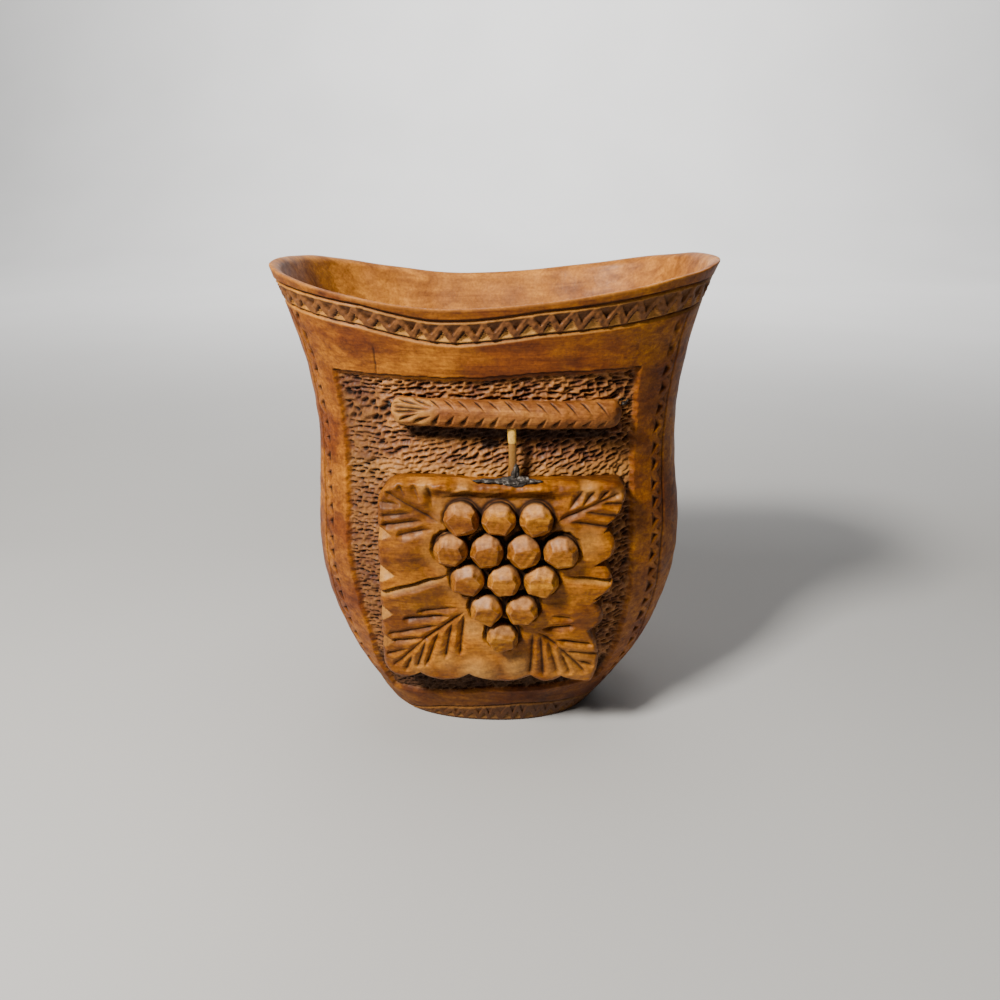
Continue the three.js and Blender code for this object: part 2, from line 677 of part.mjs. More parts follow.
function leafPlaque(ground, seats) {
  const deepest = halfDepth(BELLY_HEIGHT) + PLAQUE_BOTTOM_STAND + BLANK_MARGIN;
  const blank = toManifold(plaqueBlank(BLANK_MARGIN));
  let solid = toManifold(plaqueOutline(deepest)).intersect(blank).subtract(ground);
  const socketWidth = SHANK_WIDTH + 2 * SEAT_GAP;
  for (const { place, turn } of seats) {
    const cut = socket(socketWidth, SHANK_LENGTH + SEAT_GAP, CUT_PAST);
    cut.applyQuaternion(turn).translate(place.x, place.y, place.z);
    solid = solid.subtract(toManifold(cut));
  }
  const veins = [
    ...UPPER_LEFT_VEINS, ...UPPER_RIGHT_VEINS, ...LOWER_LEFT_VEINS, ...LOWER_RIGHT_VEINS,
    ...SIDE_GROOVES,
  ];
  const carving = wasm.Manifold.union([...veins.map(veinCut), hollowCut()]);
  const hole = stemSocket(STEM_FOOT, PLAQUE_TOP - STEM_SOCKET_DEPTH, PLAQUE_TOP + CUT_PAST);
  return toGeometry(solid.subtract(carving).subtract(hole));
}

const WOOD = { roughness: 0.45, metalness: 0 };
const bodyWood = new THREE.MeshStandardMaterial({ ...WOOD, color: 0x8a4f22 });
const appliedWood = new THREE.MeshStandardMaterial({ ...WOOD, color: 0x9b5f2b });
const grapeWood = new THREE.MeshStandardMaterial({ ...WOOD, color: 0x84481f });
const splintWood = new THREE.MeshStandardMaterial({ ...WOOD, color: 0xc08a45 });

function named(name, geometry, material) {
  const mesh = new THREE.Mesh(geometry, material);
  mesh.name = name;
  return mesh;
}

const ground = core(SEAT_GAP - PANEL_DEPTH);
const seats = grapeSeats();
const cup = new THREE.Group();
cup.add(
  named('cup_body', cupBody(), bodyWood),
  named('grape_branch', grapeBranch(ground), appliedWood),
  named('vine_stem', vineStem(), splintWood),
  named('leaf_plaque', leafPlaque(ground, seats), appliedWood),
);
seats.forEach(({ place, turn }, i) => {
  const grape = named(`grape_${String(i + 1).padStart(2, '0')}`, grapePeg(), grapeWood);
  grape.position.copy(place);
  grape.quaternion.copy(turn);
  cup.add(grape);
});

export default cup;
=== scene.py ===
import math

import bpy
import numpy as np
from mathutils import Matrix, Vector

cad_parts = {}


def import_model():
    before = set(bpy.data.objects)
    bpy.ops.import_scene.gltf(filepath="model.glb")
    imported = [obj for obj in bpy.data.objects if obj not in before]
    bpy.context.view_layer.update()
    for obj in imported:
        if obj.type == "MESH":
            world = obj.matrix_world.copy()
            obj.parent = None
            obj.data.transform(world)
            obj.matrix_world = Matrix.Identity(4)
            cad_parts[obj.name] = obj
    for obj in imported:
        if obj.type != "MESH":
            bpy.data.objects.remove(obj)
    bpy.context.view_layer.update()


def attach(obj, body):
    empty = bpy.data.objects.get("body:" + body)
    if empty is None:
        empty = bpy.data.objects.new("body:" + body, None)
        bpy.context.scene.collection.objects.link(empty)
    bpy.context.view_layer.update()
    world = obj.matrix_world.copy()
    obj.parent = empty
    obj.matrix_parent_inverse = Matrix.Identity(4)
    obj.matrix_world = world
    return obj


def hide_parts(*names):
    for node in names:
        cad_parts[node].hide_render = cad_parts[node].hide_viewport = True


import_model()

MM = 0.001

# Body, in millimetres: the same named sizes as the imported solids
FOOT_HALF_WIDTH = 32.8
FOOT_HALF_DEPTH = 20.0
FOOT_BEVEL = 0.8
FOOT_SHIFT = -1.5
FOOT_SHIFT_FADE = 1.5
BELLY_HEIGHT = 59.0
BELLY_HALF_WIDTH = 54.5
BELLY_HALF_DEPTH = 31.4
WAIST_HEIGHT = 95.0
WAIST_HALF_WIDTH = 51.4
WAIST_HALF_DEPTH = 29.4
MOUTH_HEIGHT = 130.0
MOUTH_HALF_WIDTH = 56.5
MOUTH_HALF_DEPTH = 36.6
WIDTH_FULLNESS = 2.03
DEPTH_FULLNESS = 1.6
FOOT_SQUARENESS = 2.22
RIM_SQUARENESS = 2.62
SQUARE_HEIGHT = 117.0
BOW = 1.2
BOW_HEIGHT = 120.0
RIM_FRONT_HEIGHT = 129.9
RIM_BACK_HEIGHT = 131.1
RIM_LEFT_HEIGHT = 138.4
RIM_RIGHT_HEIGHT = 139.5
RIM_LOW_PLACE = -0.19
RIM_CURVE = 1.65
LIP_WALL = 2.2
LIP_SLOPE = 1.2
BODY_WALL = 7.0
WALL_TAPER = 34.0
FLOOR_THICKNESS = 14.0
FLOOR_ROUNDING = 10.0
# The lip's rounded edge: how far below the rim, and how far out from the outside
LIP_EDGE = [
    (0.4, -0.02), (0.18, -0.09), (0.05, -0.22), (0, -0.42), (0.02, -0.8), (0.12, -1.2),
    (0.4, -1.65), (0.8, -2.0), (1.3, -2.3),
]

# Carved borders: two rows of chips right round below the rim, and two down each corner
RIM_BAND_DROP = 2.4
RIM_BAND_WIDTH = 6.0
RIM_CHIPS = 58
LOWER_CHIP_REACH = 0.55
UPPER_CHIP_REACH = 0.6
CHIP_HALF_BASE = 0.4
# Where the corners' chips run, as height and share of the half width
CORNER_LEFT = [(25, 0.89), (49, 0.885), (66, 0.879), (86, 0.901), (105, 0.906), (125, 0.885)]
CORNER_RIGHT = [(25, 0.889), (37, 0.858), (59, 0.84), (81, 0.86), (102, 0.881), (125, 0.871)]
# For the left and right side: that line, the height of its first chip and the pitch
CORNERS = {-1: (CORNER_LEFT, 121.0, 4.9), 1: (CORNER_RIGHT, 118.5, 5.3)}
CORNER_HALF_WIDTH = 1.9
CORNER_CHIP_REACH = 0.62
CORNER_BOTTOM = 16.0
# How far the two grooves beside the rim's chips lie below the rim, across the front
UPPER_GROOVE = [
    (-56, 3.2), (-44, 2.3), (-30, 1.5), (-14, 2.8), (-2, 2.8), (14, 2.0), (30, 2.4), (46, 2.6),
    (56, 3.5),
]
LOWER_GROOVE = [
    (-56, 8.6), (-41, 7.5), (-31, 6.9), (-14, 8.2), (-6, 8.6), (14, 7.7), (34, 8.9), (56, 9.8),
]
GROOVE_WIDTH = 1.0
# Height of the groove above the foot's chips, across the front and at the back
FOOT_GROOVE = [
    (-32, 1.0), (-26, 1.2), (-15.8, 5.0), (-5.9, 6.3), (8.5, 8.5), (25.2, 7.5), (32, 6.0),
]
FOOT_GROOVE_BACK = 6.0
FOOT_CHIP_PITCH = 3.6
# The fine upright crack in the smooth band at the left
CRACK_PLACE = -28.0
CRACK_BOTTOM = 112.5
CRACK_TOP = 121.0

# Sunk panel: sides as height and share of the half width, ends as x and rise
PANEL_DEPTH = 1.8
PANEL_TOP = 113.3
PANEL_BOTTOM = 12.5
PANEL_LEFT = [
    (20, 0.785), (31, 0.747), (43, 0.756), (66, 0.77), (90, 0.783), (100, 0.782), (109, 0.775),
]
PANEL_RIGHT = [
    (20, 0.79), (31, 0.767), (43, 0.738), (66, 0.72), (90, 0.737), (100, 0.746), (109, 0.728),
]
PANEL_TOP_EDGE = [(-40.7, -0.2), (-11.4, -0.7), (-1.5, -0.6), (14.7, 0.9), (38.6, 1.5)]
PANEL_BOTTOM_EDGE = [(-31, -3.8), (-10.6, -1.1), (0, 1.4), (15.2, 1.7), (34, 3.2)]
# Depth of the panel's cut by distance in from its top, its sides and its bottom
TOP_CUT = [(0, 0), (0.25, 1.5), (0.45, 1.7), (1.4, 1.3)]
SIDE_CUT = [(0, 0), (0.35, 1.25), (1.0, 1.35)]
BOTTOM_CUT = [(0, 0), (1.1, 0.85), (1.5, 1.3)]
PIT_PITCH = 2.2
PIT_ROW = 1.42
PIT_DEPTH = 1.3
# How far the dents' hollows are darkened by their depth: painted shade
PIT_SHADE = 2.6
# Middle and half sizes of the smear of dark glue on the panel, left of the stem
GLUE_SMEAR = (0.8, 94.6, 3.6, 1.9)

# Applied pieces, in millimetres
BRANCH_RADIUS = 3.6
BRANCH_LEFT = -24.6
BRANCH_RIGHT = 34.4
BRANCH_HEIGHT = 103.2
BRANCH_FLAT = 1.0
BRANCH_END_ROUNDING = 3.0
STEM_PLACE = 6.5
STEM_WIDTH = 2.1
STEM_THICKNESS = 1.8
STEM_SOCKET_DEPTH = 2.0
STEM_TOP_FORWARD = 0.6
STEM_FOOT_SHARE = 0.75
STEM_BOW = 0.9
PLAQUE_BOTTOM = 22.5
PLAQUE_HEIGHT = 63.4
PLAQUE_TOP = PLAQUE_BOTTOM + PLAQUE_HEIGHT
PLAQUE_TOP_STAND = 3.2
PLAQUE_BOTTOM_STAND = 5.7
PLAQUE_CROWN = 0.4
GRAPE_RADIUS = 4.5
# Each row of grapes: how many, middle X, height above the plaque's bottom edge, spacing
GRAPE_ROWS = [
    (3, 3.3, 53.5, 9.8),
    (4, 5.1, 44.6, 9.7),
    (3, 4.8, 36.3, 9.9),
    (2, 4.8, 27.5, 9.6),
    (1, 4.3, 18.3, 9.6),
]
# The plaque's lobed edge: where each lobe ends, as x and height above its bottom, and its bulge
PLAQUE_LOBES = [
    (-23.8, 62.8, 1.8), (-3.2, 63.1, 0.5), (33.2, 62.9, 0.3), (36.4, 59.6, 0.9),
    (31.8, 49.9, 0.9), (31.1, 40.5, 2.8), (29.7, 28.5, 3.6), (28.7, 18.7, 2.9),
    (29.8, 0, 2.3), (21.4, 2.6, 0.7), (12.6, 2.7, 2), (-5.6, 2.9, 2.4),
    (-20.3, 2.4, 2.7), (-27.9, 0.8, 1.2), (-30.6, 5.4, 0.5), (-29.2, 54.5, 0),
]
# Leaf cuts, each from x and height above the plaque's bottom to the like, midribs first:
# the upper left leaf, the upper right, the lower left and the lower right
LEAF_VEINS = [
    (-26.8, 59.4, -13, 51.8),
    (-28.8, 56.4, -21.9, 56.3), (-28.6, 52.7, -19, 54.3), (-28.3, 50, -16.8, 52.1),
    (-24, 47.5, -14.2, 50),
    (-23.2, 61.7, -21.3, 57.7), (-19.4, 61.7, -17.6, 57.4), (-15.5, 61.8, -14.3, 55.8),

    (34.6, 59.9, 18.6, 52.5),
    (36, 57, 28.6, 57.2), (34.8, 53.7, 24.6, 55.3), (33.5, 50.6, 22, 52.4),
    (31.7, 60.7, 28.7, 57.5), (28, 60.5, 25, 56.5), (25, 60.7, 21.5, 55.7),

    (-27.4, 4.9, -18, 15.3), (-18.4, 14.9, -6.3, 25.2),
    (-19.2, 24.7, -8.2, 26.5), (-23.4, 21.7, -10, 23.7), (-28.2, 16.3, -13.2, 20.3),
    (-27.4, 13.7, -17.8, 15.8), (-29.2, 8.8, -22.4, 11.8),
    (-7.9, 10.5, -6.5, 24.5), (-12.2, 8.9, -9.9, 21.5), (-17.9, 5.8, -13.6, 18.5),
    (-20.6, 4.9, -17.5, 14.9), (-24.1, 3.1, -21.7, 9.7),

    (27.9, 4.3, 19.5, 14.5), (19.8, 14.2, 14, 19.1),
    (23.6, 23.4, 17.6, 24.4), (24, 20.7, 15.1, 20), (29.4, 14.4, 18.8, 16.4),
    (31.4, 10.6, 21.4, 12.3), (30.2, 6.5, 24.6, 8.9),
    (12.1, 3.9, 12.8, 18.7), (15.9, 3.3, 14.9, 18.1), (20.1, 3.7, 17, 16.3),
    (23.6, 3.9, 20.5, 12.3),
]
# Cuts into the plaque's right edge, and the two long grooves, from and to as above
RIGHT_NOTCHES = [
    (35.4, 52.4, 30.6, 50.9), (34.8, 41.4, 28.9, 39.9), (33.8, 31.2, 29.2, 29.7),
    (32.6, 20.3, 28.0, 19.2),
]
SIDE_GROOVES = [(-31.5, 29.9, -9.8, 37.1), (33.6, 35.7, 20.4, 37.3)]
# Chips at the plaque's left edge: inner point, the edge's heights above and below it, and how pale
# the facet's painted highlight is
LEFT_CHIPS = [
    (-25.4, 47.5, 50.2, 45.6, 0.5), (-25.2, 35.6, 39.3, 33.4, 0.8),
    (-26.4, 23.4, 25.9, 21.0, 0.5), (-26.7, 13.8, 15.9, 11.4, 0.3),
]
# Rounded swells of the plaque's face: middle, half width, half height and rise
SWELLS = [
    (-22.5, 42.5, 8.5, 6.0, 0.9), (-21.0, 29.0, 9.5, 5.5, 0.7), (25.5, 44.8, 8.5, 5.2, 0.9),
    (26.0, 32.6, 8.0, 4.6, 0.8), (26.5, 25.0, 6.5, 4.2, 0.6), (-1.5, 5.4, 5.5, 5.0, 1.0),
    (8.4, 7.6, 3.6, 6.5, 0.9), (-22.5, 12.0, 9.0, 9.0, 0.45), (22.5, 11.0, 9.0, 9.0, 0.45),
    (-21.5, 55.0, 9.0, 7.0, 0.4), (27.5, 56.0, 9.0, 6.0, 0.4), (-6.5, 19.0, 5.0, 5.0, -0.5),
    (-16.0, 40.0, 4.0, 5.0, -0.6), (20.0, 31.0, 5.0, 4.0, -0.5), (-13.0, 30.0, 5.0, 4.0, -0.4),
]
# Where the plaque is made paler, and where its stain lies thick: middle, radius and amount
PALE_SPOTS = [
    (-4.0, 19.5, 6.0, 0.6), (-3.0, 4.5, 8.5, 0.72), (8.5, 7.0, 7.0, 0.66), (27.0, 47.0, 6.0, 0.4),
    (24.0, 8.0, 11.0, 0.35), (-13.0, 56.0, 4.0, 0.3), (21.0, 49.0, 4.0, 0.4),
    (-12.0, 8.0, 6.0, 0.35), (-16.5, 61.3, 3.2, 0.6), (-6.0, 60.8, 3.6, 0.5),
    (26.5, 61.2, 4.0, 0.5), (34.0, 59.5, 3.0, 0.4), (20.5, 6.0, 6.0, 0.4), (-20.0, 5.0, 6.0, 0.3),
]
DARK_SPOTS = [
    (-23.0, 55.0, 11.0, 0.5), (-20.0, 43.0, 8.0, 0.3), (-17.0, 28.5, 12.0, 0.48),
    (21.0, 30.0, 8.0, 0.3), (-26.0, 13.0, 8.0, 0.25), (30.0, 20.0, 8.0, 0.3),
]
# Cuts that fan out into a leaf at the branch's left end: from and to, along and up, and depth
LEAF_END_CUTS = [
    (1.2, 1.9, 10.6, 1.6, 0.5), (2.6, 4.2, 8.8, 2.4, 0.45), (1.2, 0.4, 8.4, 1.1, 0.7),
    (2.8, -1.6, 7.8, 0.4, 0.85), (6.2, -2.4, 10.8, -0.1, 0.95), (6.4, 5.0, 11.2, 2.4, 0.5),
    (0.8, 3.4, 4.0, 3.0, 0.35),
]
HERRINGBONE_START = 13.4
HERRINGBONE_PITCH = 3.8
HERRINGBONE_COUNT = 12
# Drops of dried glue round the stem's foot: x, how far back and up, and half sizes
GLUE_DROPS = [
    (-1.6, 0.1, -0.2, 1.9, 0.5, 0.35), (-0.2, 0.1, -0.1, 2.0, 0.6, 0.45),
    (1.2, 0.0, -0.2, 2.6, 0.8, 0.5), (3.8, 0.0, -0.2, 2.6, 1.0, 0.7),
    (6.4, -0.1, 0.0, 2.7, 1.2, 1.3), (7.3, 0.3, 1.8, 1.1, 0.9, 2.9),
    (9.2, 0.0, 0.1, 2.3, 1.1, 1.2), (11.2, -0.1, -0.1, 2.3, 0.8, 0.7),
    (13.0, 0.1, -0.1, 1.7, 0.5, 0.4), (7.4, -0.7, -0.9, 2.8, 0.5, 0.8),
]
# Glue that shows at the branch's two ends: x and how far above its middle
BRANCH_GLUE = [(BRANCH_LEFT + 0.2, 1.6), (BRANCH_RIGHT + 0.1, 2.0)]
BRANCH_GLUE_SIZE = (1.6, 0.8, 1.1)

# The photograph's view: place in metres, tilt and turn in degrees, lens and sensor in millimetres
CAMERA_PLACE = (0.01267, -0.21584, 0.1557)
CAMERA_TILT = 67.76
CAMERA_TURN = 2.87
CAMERA_LENS = 27.29
CAMERA_SENSOR = 36

# Colours, as linear red, green and blue; woods as light, deep
BODY_COLOURS = ((0.42, 0.160, 0.0095), (0.205, 0.056, 0.0045))
PLAQUE_COLOURS = ((0.39, 0.150, 0.008), (0.205, 0.069, 0.005))
BRANCH_COLOURS = ((0.38, 0.165, 0.042), (0.25, 0.090, 0.020))
GRAPE_COLOURS = ((0.46, 0.20, 0.012), (0.28, 0.10, 0.010))
SPLINT_COLOURS = ((0.78, 0.47, 0.08), (0.5, 0.24, 0.02))
SPLINT_MARK = (0.17, 0.052, 0.003)
# The colour the dark number blends to: painted shade in cuts, chips, dents and under the applied
# pieces, and real stain and glue elsewhere
CUT_DARK = (0.011, 0.0032, 0.0012)
GROUND_DEEP = (0.15, 0.050, 0.021)
GROUND_LIGHT = (0.35, 0.140, 0.036)
BAND_BROWN = (0.165, 0.066, 0.021)
INSIDE_LIGHT = (0.50, 0.21, 0.036)
INSIDE_DEEP = (0.33, 0.125, 0.030)
# Colours of worn wood, also used as painted highlights on facets and walls that face the light
BARE_AND_LIT_WOOD = (0.52, 0.25, 0.055)
BARE_AND_LIT_GRAPE = (0.58, 0.30, 0.13)
GLUE_TONES = (
    (0.36, (0.010, 0.007, 0.006)), (0.56, (0.040, 0.031, 0.025)), (0.68, (0.22, 0.19, 0.165)),
)
FLOOR_TONES = ((0.3, (0.44, 0.436, 0.43)), (0.7, (0.47, 0.466, 0.46)))
SKY_COLOUR = (0.92, 0.95, 1.0, 1)
SKY_STRENGTH = 0.05
# How each noise tints the wood: its level and the tint there, low and high
PATCH_TINT = ((0.36, (0.72, 0.64, 0.56)), (0.62, (1.12, 1.1, 0.95)))
STREAK_TINT = ((0.34, (0.6, 0.5, 0.42)), (0.6, (1.1, 1.08, 1.0)))
FIBRE_TINT = ((0.3, (0.62, 0.52, 0.45)), (0.62, (1.14, 1.14, 1.1)))
MOTTLE_TINT = ((0.36, (0.66, 0.54, 0.46)), (0.6, (1.12, 1.12, 1.05)))
PORE_TINT = ((0.27, (0.3, 0.22, 0.2)), (0.36, (1, 1, 1)))
SPECK_TINT = ((0.3, (0.55, 0.48, 0.44)), (0.7, (1.3, 1.3, 1.3)))

# Lights: name, place, target, size, power and colour
LIGHTS = [
    ("key", (-0.30, -0.34, 0.50), (0, -0.03, 0.08), (0.11, 0.11), 8.4, (1.0, 0.96, 0.89)),
    ("overhead", (0.05, 0.1, 0.95), (0, 0, 0.05), (0.5, 0.4), 2.4, (1.0, 0.98, 0.95)),
    ("backdrop", (0, 0.7, 1.3), (0, 2.0, 0.7), (1.6, 0.4), 100.0, (1.0, 1.0, 1.0)),
]


# Formulas of the body


def share(value):
    return np.clip(value, 0, 1)


def ease(value):
    return (1 - np.cos(np.pi * share(value))) / 2


def mix(first, last, value):
    return first + (last - first) * value


def profile(height, foot, belly, waist, mouth, fullness):
    heel = mix(foot, belly, 1 - (1 - share(height / BELLY_HEIGHT)) ** fullness)
    side = mix(belly, waist, ease((height - BELLY_HEIGHT) / (WAIST_HEIGHT - BELLY_HEIGHT)))
    rise = np.maximum((height - WAIST_HEIGHT) / (MOUTH_HEIGHT - WAIST_HEIGHT), 0)
    flare = mix(waist, mouth, rise ** 2)
    return np.where(height < BELLY_HEIGHT, heel, np.where(height < WAIST_HEIGHT, side, flare))


def half_width(height):
    return profile(height, FOOT_HALF_WIDTH, BELLY_HALF_WIDTH, WAIST_HALF_WIDTH,
                   MOUTH_HALF_WIDTH, WIDTH_FULLNESS)


def half_depth(height):
    return profile(height, FOOT_HALF_DEPTH, BELLY_HALF_DEPTH, WAIST_HALF_DEPTH,
                   MOUTH_HALF_DEPTH, DEPTH_FULLNESS)


def squareness(height):
    return mix(FOOT_SQUARENESS, RIM_SQUARENESS, share(height / SQUARE_HEIGHT))


def middle(height):
    lean = FOOT_SHIFT * share(1 - height / BELLY_HEIGHT) ** FOOT_SHIFT_FADE
    return lean + BOW * np.sin(np.pi * share(height / BOW_HEIGHT))


def squared(value, power):
    return np.sign(value) * np.abs(value) ** (2 / power)


def outside(angle, height, offset=0.0):
    power = squareness(height)
    x = middle(height) + (half_width(height) + offset) * squared(np.cos(angle), power)
    y = (half_depth(height) + offset) * squared(np.sin(angle), power)
    return np.stack([x, y, height + 0 * x], -1)


def front_of(x, height, offset=0.0):
    power = squareness(height)
    across = share(np.abs(x - middle(height)) / (half_width(height) + offset))
    return -(half_depth(height) + offset) * (1 - across ** power) ** (1 / power)


def rim_height(angle):
    across = squared(np.cos(angle), RIM_SQUARENESS)
    away = across - RIM_LOW_PLACE
    reach = np.abs(away) / (1 - np.sign(away) * RIM_LOW_PLACE)
    low = mix(RIM_FRONT_HEIGHT, RIM_BACK_HEIGHT, (1 + np.sin(angle)) / 2)
    tip = mix(RIM_LEFT_HEIGHT, RIM_RIGHT_HEIGHT, (1 + across) / 2)
    return mix(low, tip, reach ** RIM_CURVE)


def plaque_face(x, height):
    down = share((PLAQUE_TOP - height) / PLAQUE_HEIGHT)
    stand = mix(PLAQUE_TOP_STAND, PLAQUE_BOTTOM_STAND, down ** 2)
    depth = half_depth(height)
    return -depth - stand + PLAQUE_CROWN * (front_of(x, height) + depth)


# Helpers for carving


def table(value, pairs):
    return np.interp(value, [pair[0] for pair in pairs], [pair[1] for pair in pairs])


def waves(a, b, size, seed, count=7):
    """A smooth, seeded unevenness over a plane, about -1 to 1, with swells of a size."""
    rng = np.random.default_rng(seed)
    total = 0 * a * b
    for _ in range(count):
        turn = rng.uniform(0, 2 * np.pi)
        pace = 2 * np.pi / (size * rng.uniform(0.7, 1.5))
        total = total + np.sin(pace * (a * np.cos(turn) + b * np.sin(turn)) + rng.uniform(0, 6.3))
    return total / math.sqrt(count)


def bump(distance):
    """A smooth round hump, 1 in the middle and 0 from a distance of 1."""
    return share(1 - distance * distance) ** 2


def groove(distance, steep, gentle, depth):
    """Depth of a V cut: a steep side where the distance is negative, a gentle one beyond."""
    return depth * np.where(distance < 0, share(1 + distance / steep), share(1 - distance / gentle))


def beside(x, z, line):
    """Distance along a line from x, z to x, z, distance to the side of it, and its length."""
    ax, az, bx, bz = line
    length = math.hypot(bx - ax, bz - az)
    ux, uz = (bx - ax) / length, (bz - az) / length
    along = (x - ax) * ux + (z - az) * uz
    side = (z - az) * ux - (x - ax) * uz
    return along, side, length


def vein(x, z, line, width, depth, sharp=1.5):
    """Depth of a knife cut along a line that runs out at both ends."""
    along, side, length = beside(x, z, line)
    full = share(np.minimum(along / 1.6 + 0.35, (length - along) / 3.0)) ** 0.7
    over = np.maximum(np.maximum(-along, along - length), 0)
    half = width * np.maximum(full, 0.3)
    return depth * full * share(1 - np.hypot(side, over) / half) ** sharp


class Surface:
    """How deep a surface is cut, how dark it is stained and painted with shade, and how far it is
    worn bare and painted with light.
    """

    def __init__(self, shape):
        self.depth, self.dark, self.bare_and_lit = np.zeros((3, *shape))

    def cut(self, depth, dark=0):
        """Take the surface down by a depth, or up where it is below nought."""
        self.depth = self.depth + depth
        self.stain_and_shade(dark)

    def rule(self, line, steep, gentle, depth, dark, half, fade=1):
        """A V groove along a line, with a dark line of painted shade in its bottom."""
        self.cut(groove(line, steep, gentle, depth) * fade, (dark - np.abs(line) / half) * fade)

    def stain_and_shade(self, dark):
        self.dark = np.maximum(self.dark, share(dark))

    def wear_and_highlight(self, bare_and_lit):
        self.bare_and_lit = np.maximum(self.bare_and_lit, share(bare_and_lit))

    def knife(self, x, z, line, width, depth, dark_width, dark, sharp=1.5, fade=0.8):
        """A knife cut with a narrower dark line of painted shade in it, no deeper where cuts cross.
        """
        self.depth = np.maximum(self.depth, vein(x, z, line, width, depth, sharp))
        self.stain_and_shade(vein(x, z, line, dark_width, dark, fade))


def chips(along, across, lower_reach, upper_reach):
    """Depth shares of two rows of three-cornered chips that point at each other.

    along counts pitches and is whole at the lower chips' middles. across runs from 0 at the
    lower border to 1 at the upper one. A chip is deepest near its tip.
    """
    near = np.abs(along - np.round(along))
    wall = 0.07
    rows = []
    for aside, rise, reach in ((near, across, lower_reach), (0.5 - near, 1 - across, upper_reach)):
        edge = reach * (1 - aside / CHIP_HALF_BASE)
        depth = share((edge - rise) / wall) * (0.12 + 0.88 * share(rise / reach))
        rows.append(depth * (rise > -0.02))
    return rows


def spread(edges, steps):
    """Places between edges, each stretch divided into steps of about the size given for it."""
    places = [edges[0]]
    for low, high, step in zip(edges[:-1], edges[1:], steps):
        count = max(1, int(round(abs(high - low) / step)))
        places += list(low + (high - low) * np.arange(1, count + 1) / count)
    return np.array(places)


# Helpers for meshes


def add_object(name, data):
    item = bpy.data.objects.new(name, data)
    bpy.context.scene.collection.objects.link(item)
    return item


def grid_faces(rows, columns):
    row, column = np.meshgrid(np.arange(rows - 1), np.arange(columns), indexing="ij")
    after = (column + 1) % columns
    low = row * columns
    high = low + columns
    return np.stack([low + column, low + after, high + after, high + column], -1).reshape(-1, 4)


def make_mesh(name, points, faces, floats=None):
    """A smooth mesh object from points in millimetres, with named numbers on its points."""
    mesh = bpy.data.meshes.new(name)
    mesh.from_pydata(points * MM, [], faces)
    mesh.validate()
    mesh.polygons.foreach_set("use_smooth", np.ones(len(mesh.polygons), bool))
    for key, values in (floats or {}).items():
        layer = mesh.attributes.new(key, "FLOAT", "POINT")
        layer.data.foreach_set("value", values.astype(np.float32))
    return add_object(name, mesh)


def ring_mesh(name, rings, floats=None, tips=None):
    """A closed mesh through rings of points, its two ends fanned shut to a tip each."""
    rows, columns = rings.shape[:2]
    points = rings.reshape(-1, 3)
    first, last = len(points), len(points) + 1
    points = np.concatenate([points, tips or (rings[0].mean(0), rings[-1].mean(0))])
    side = np.arange(columns)
    after = (side + 1) % columns
    top = (rows - 1) * columns
    fans = np.concatenate([
        np.stack([np.full(columns, first), after, side], -1),
        np.stack([np.full(columns, last), top + side, top + after], -1),
    ])
    full = {}
    for key, values in (floats or {}).items():
        flat = values.reshape(-1)
        full[key] = np.concatenate([flat, [flat[0], flat[-1]]])
    faces = grid_faces(rows, columns).tolist() + fans.tolist()
    return make_mesh(name, points, faces, full)


# The carved body


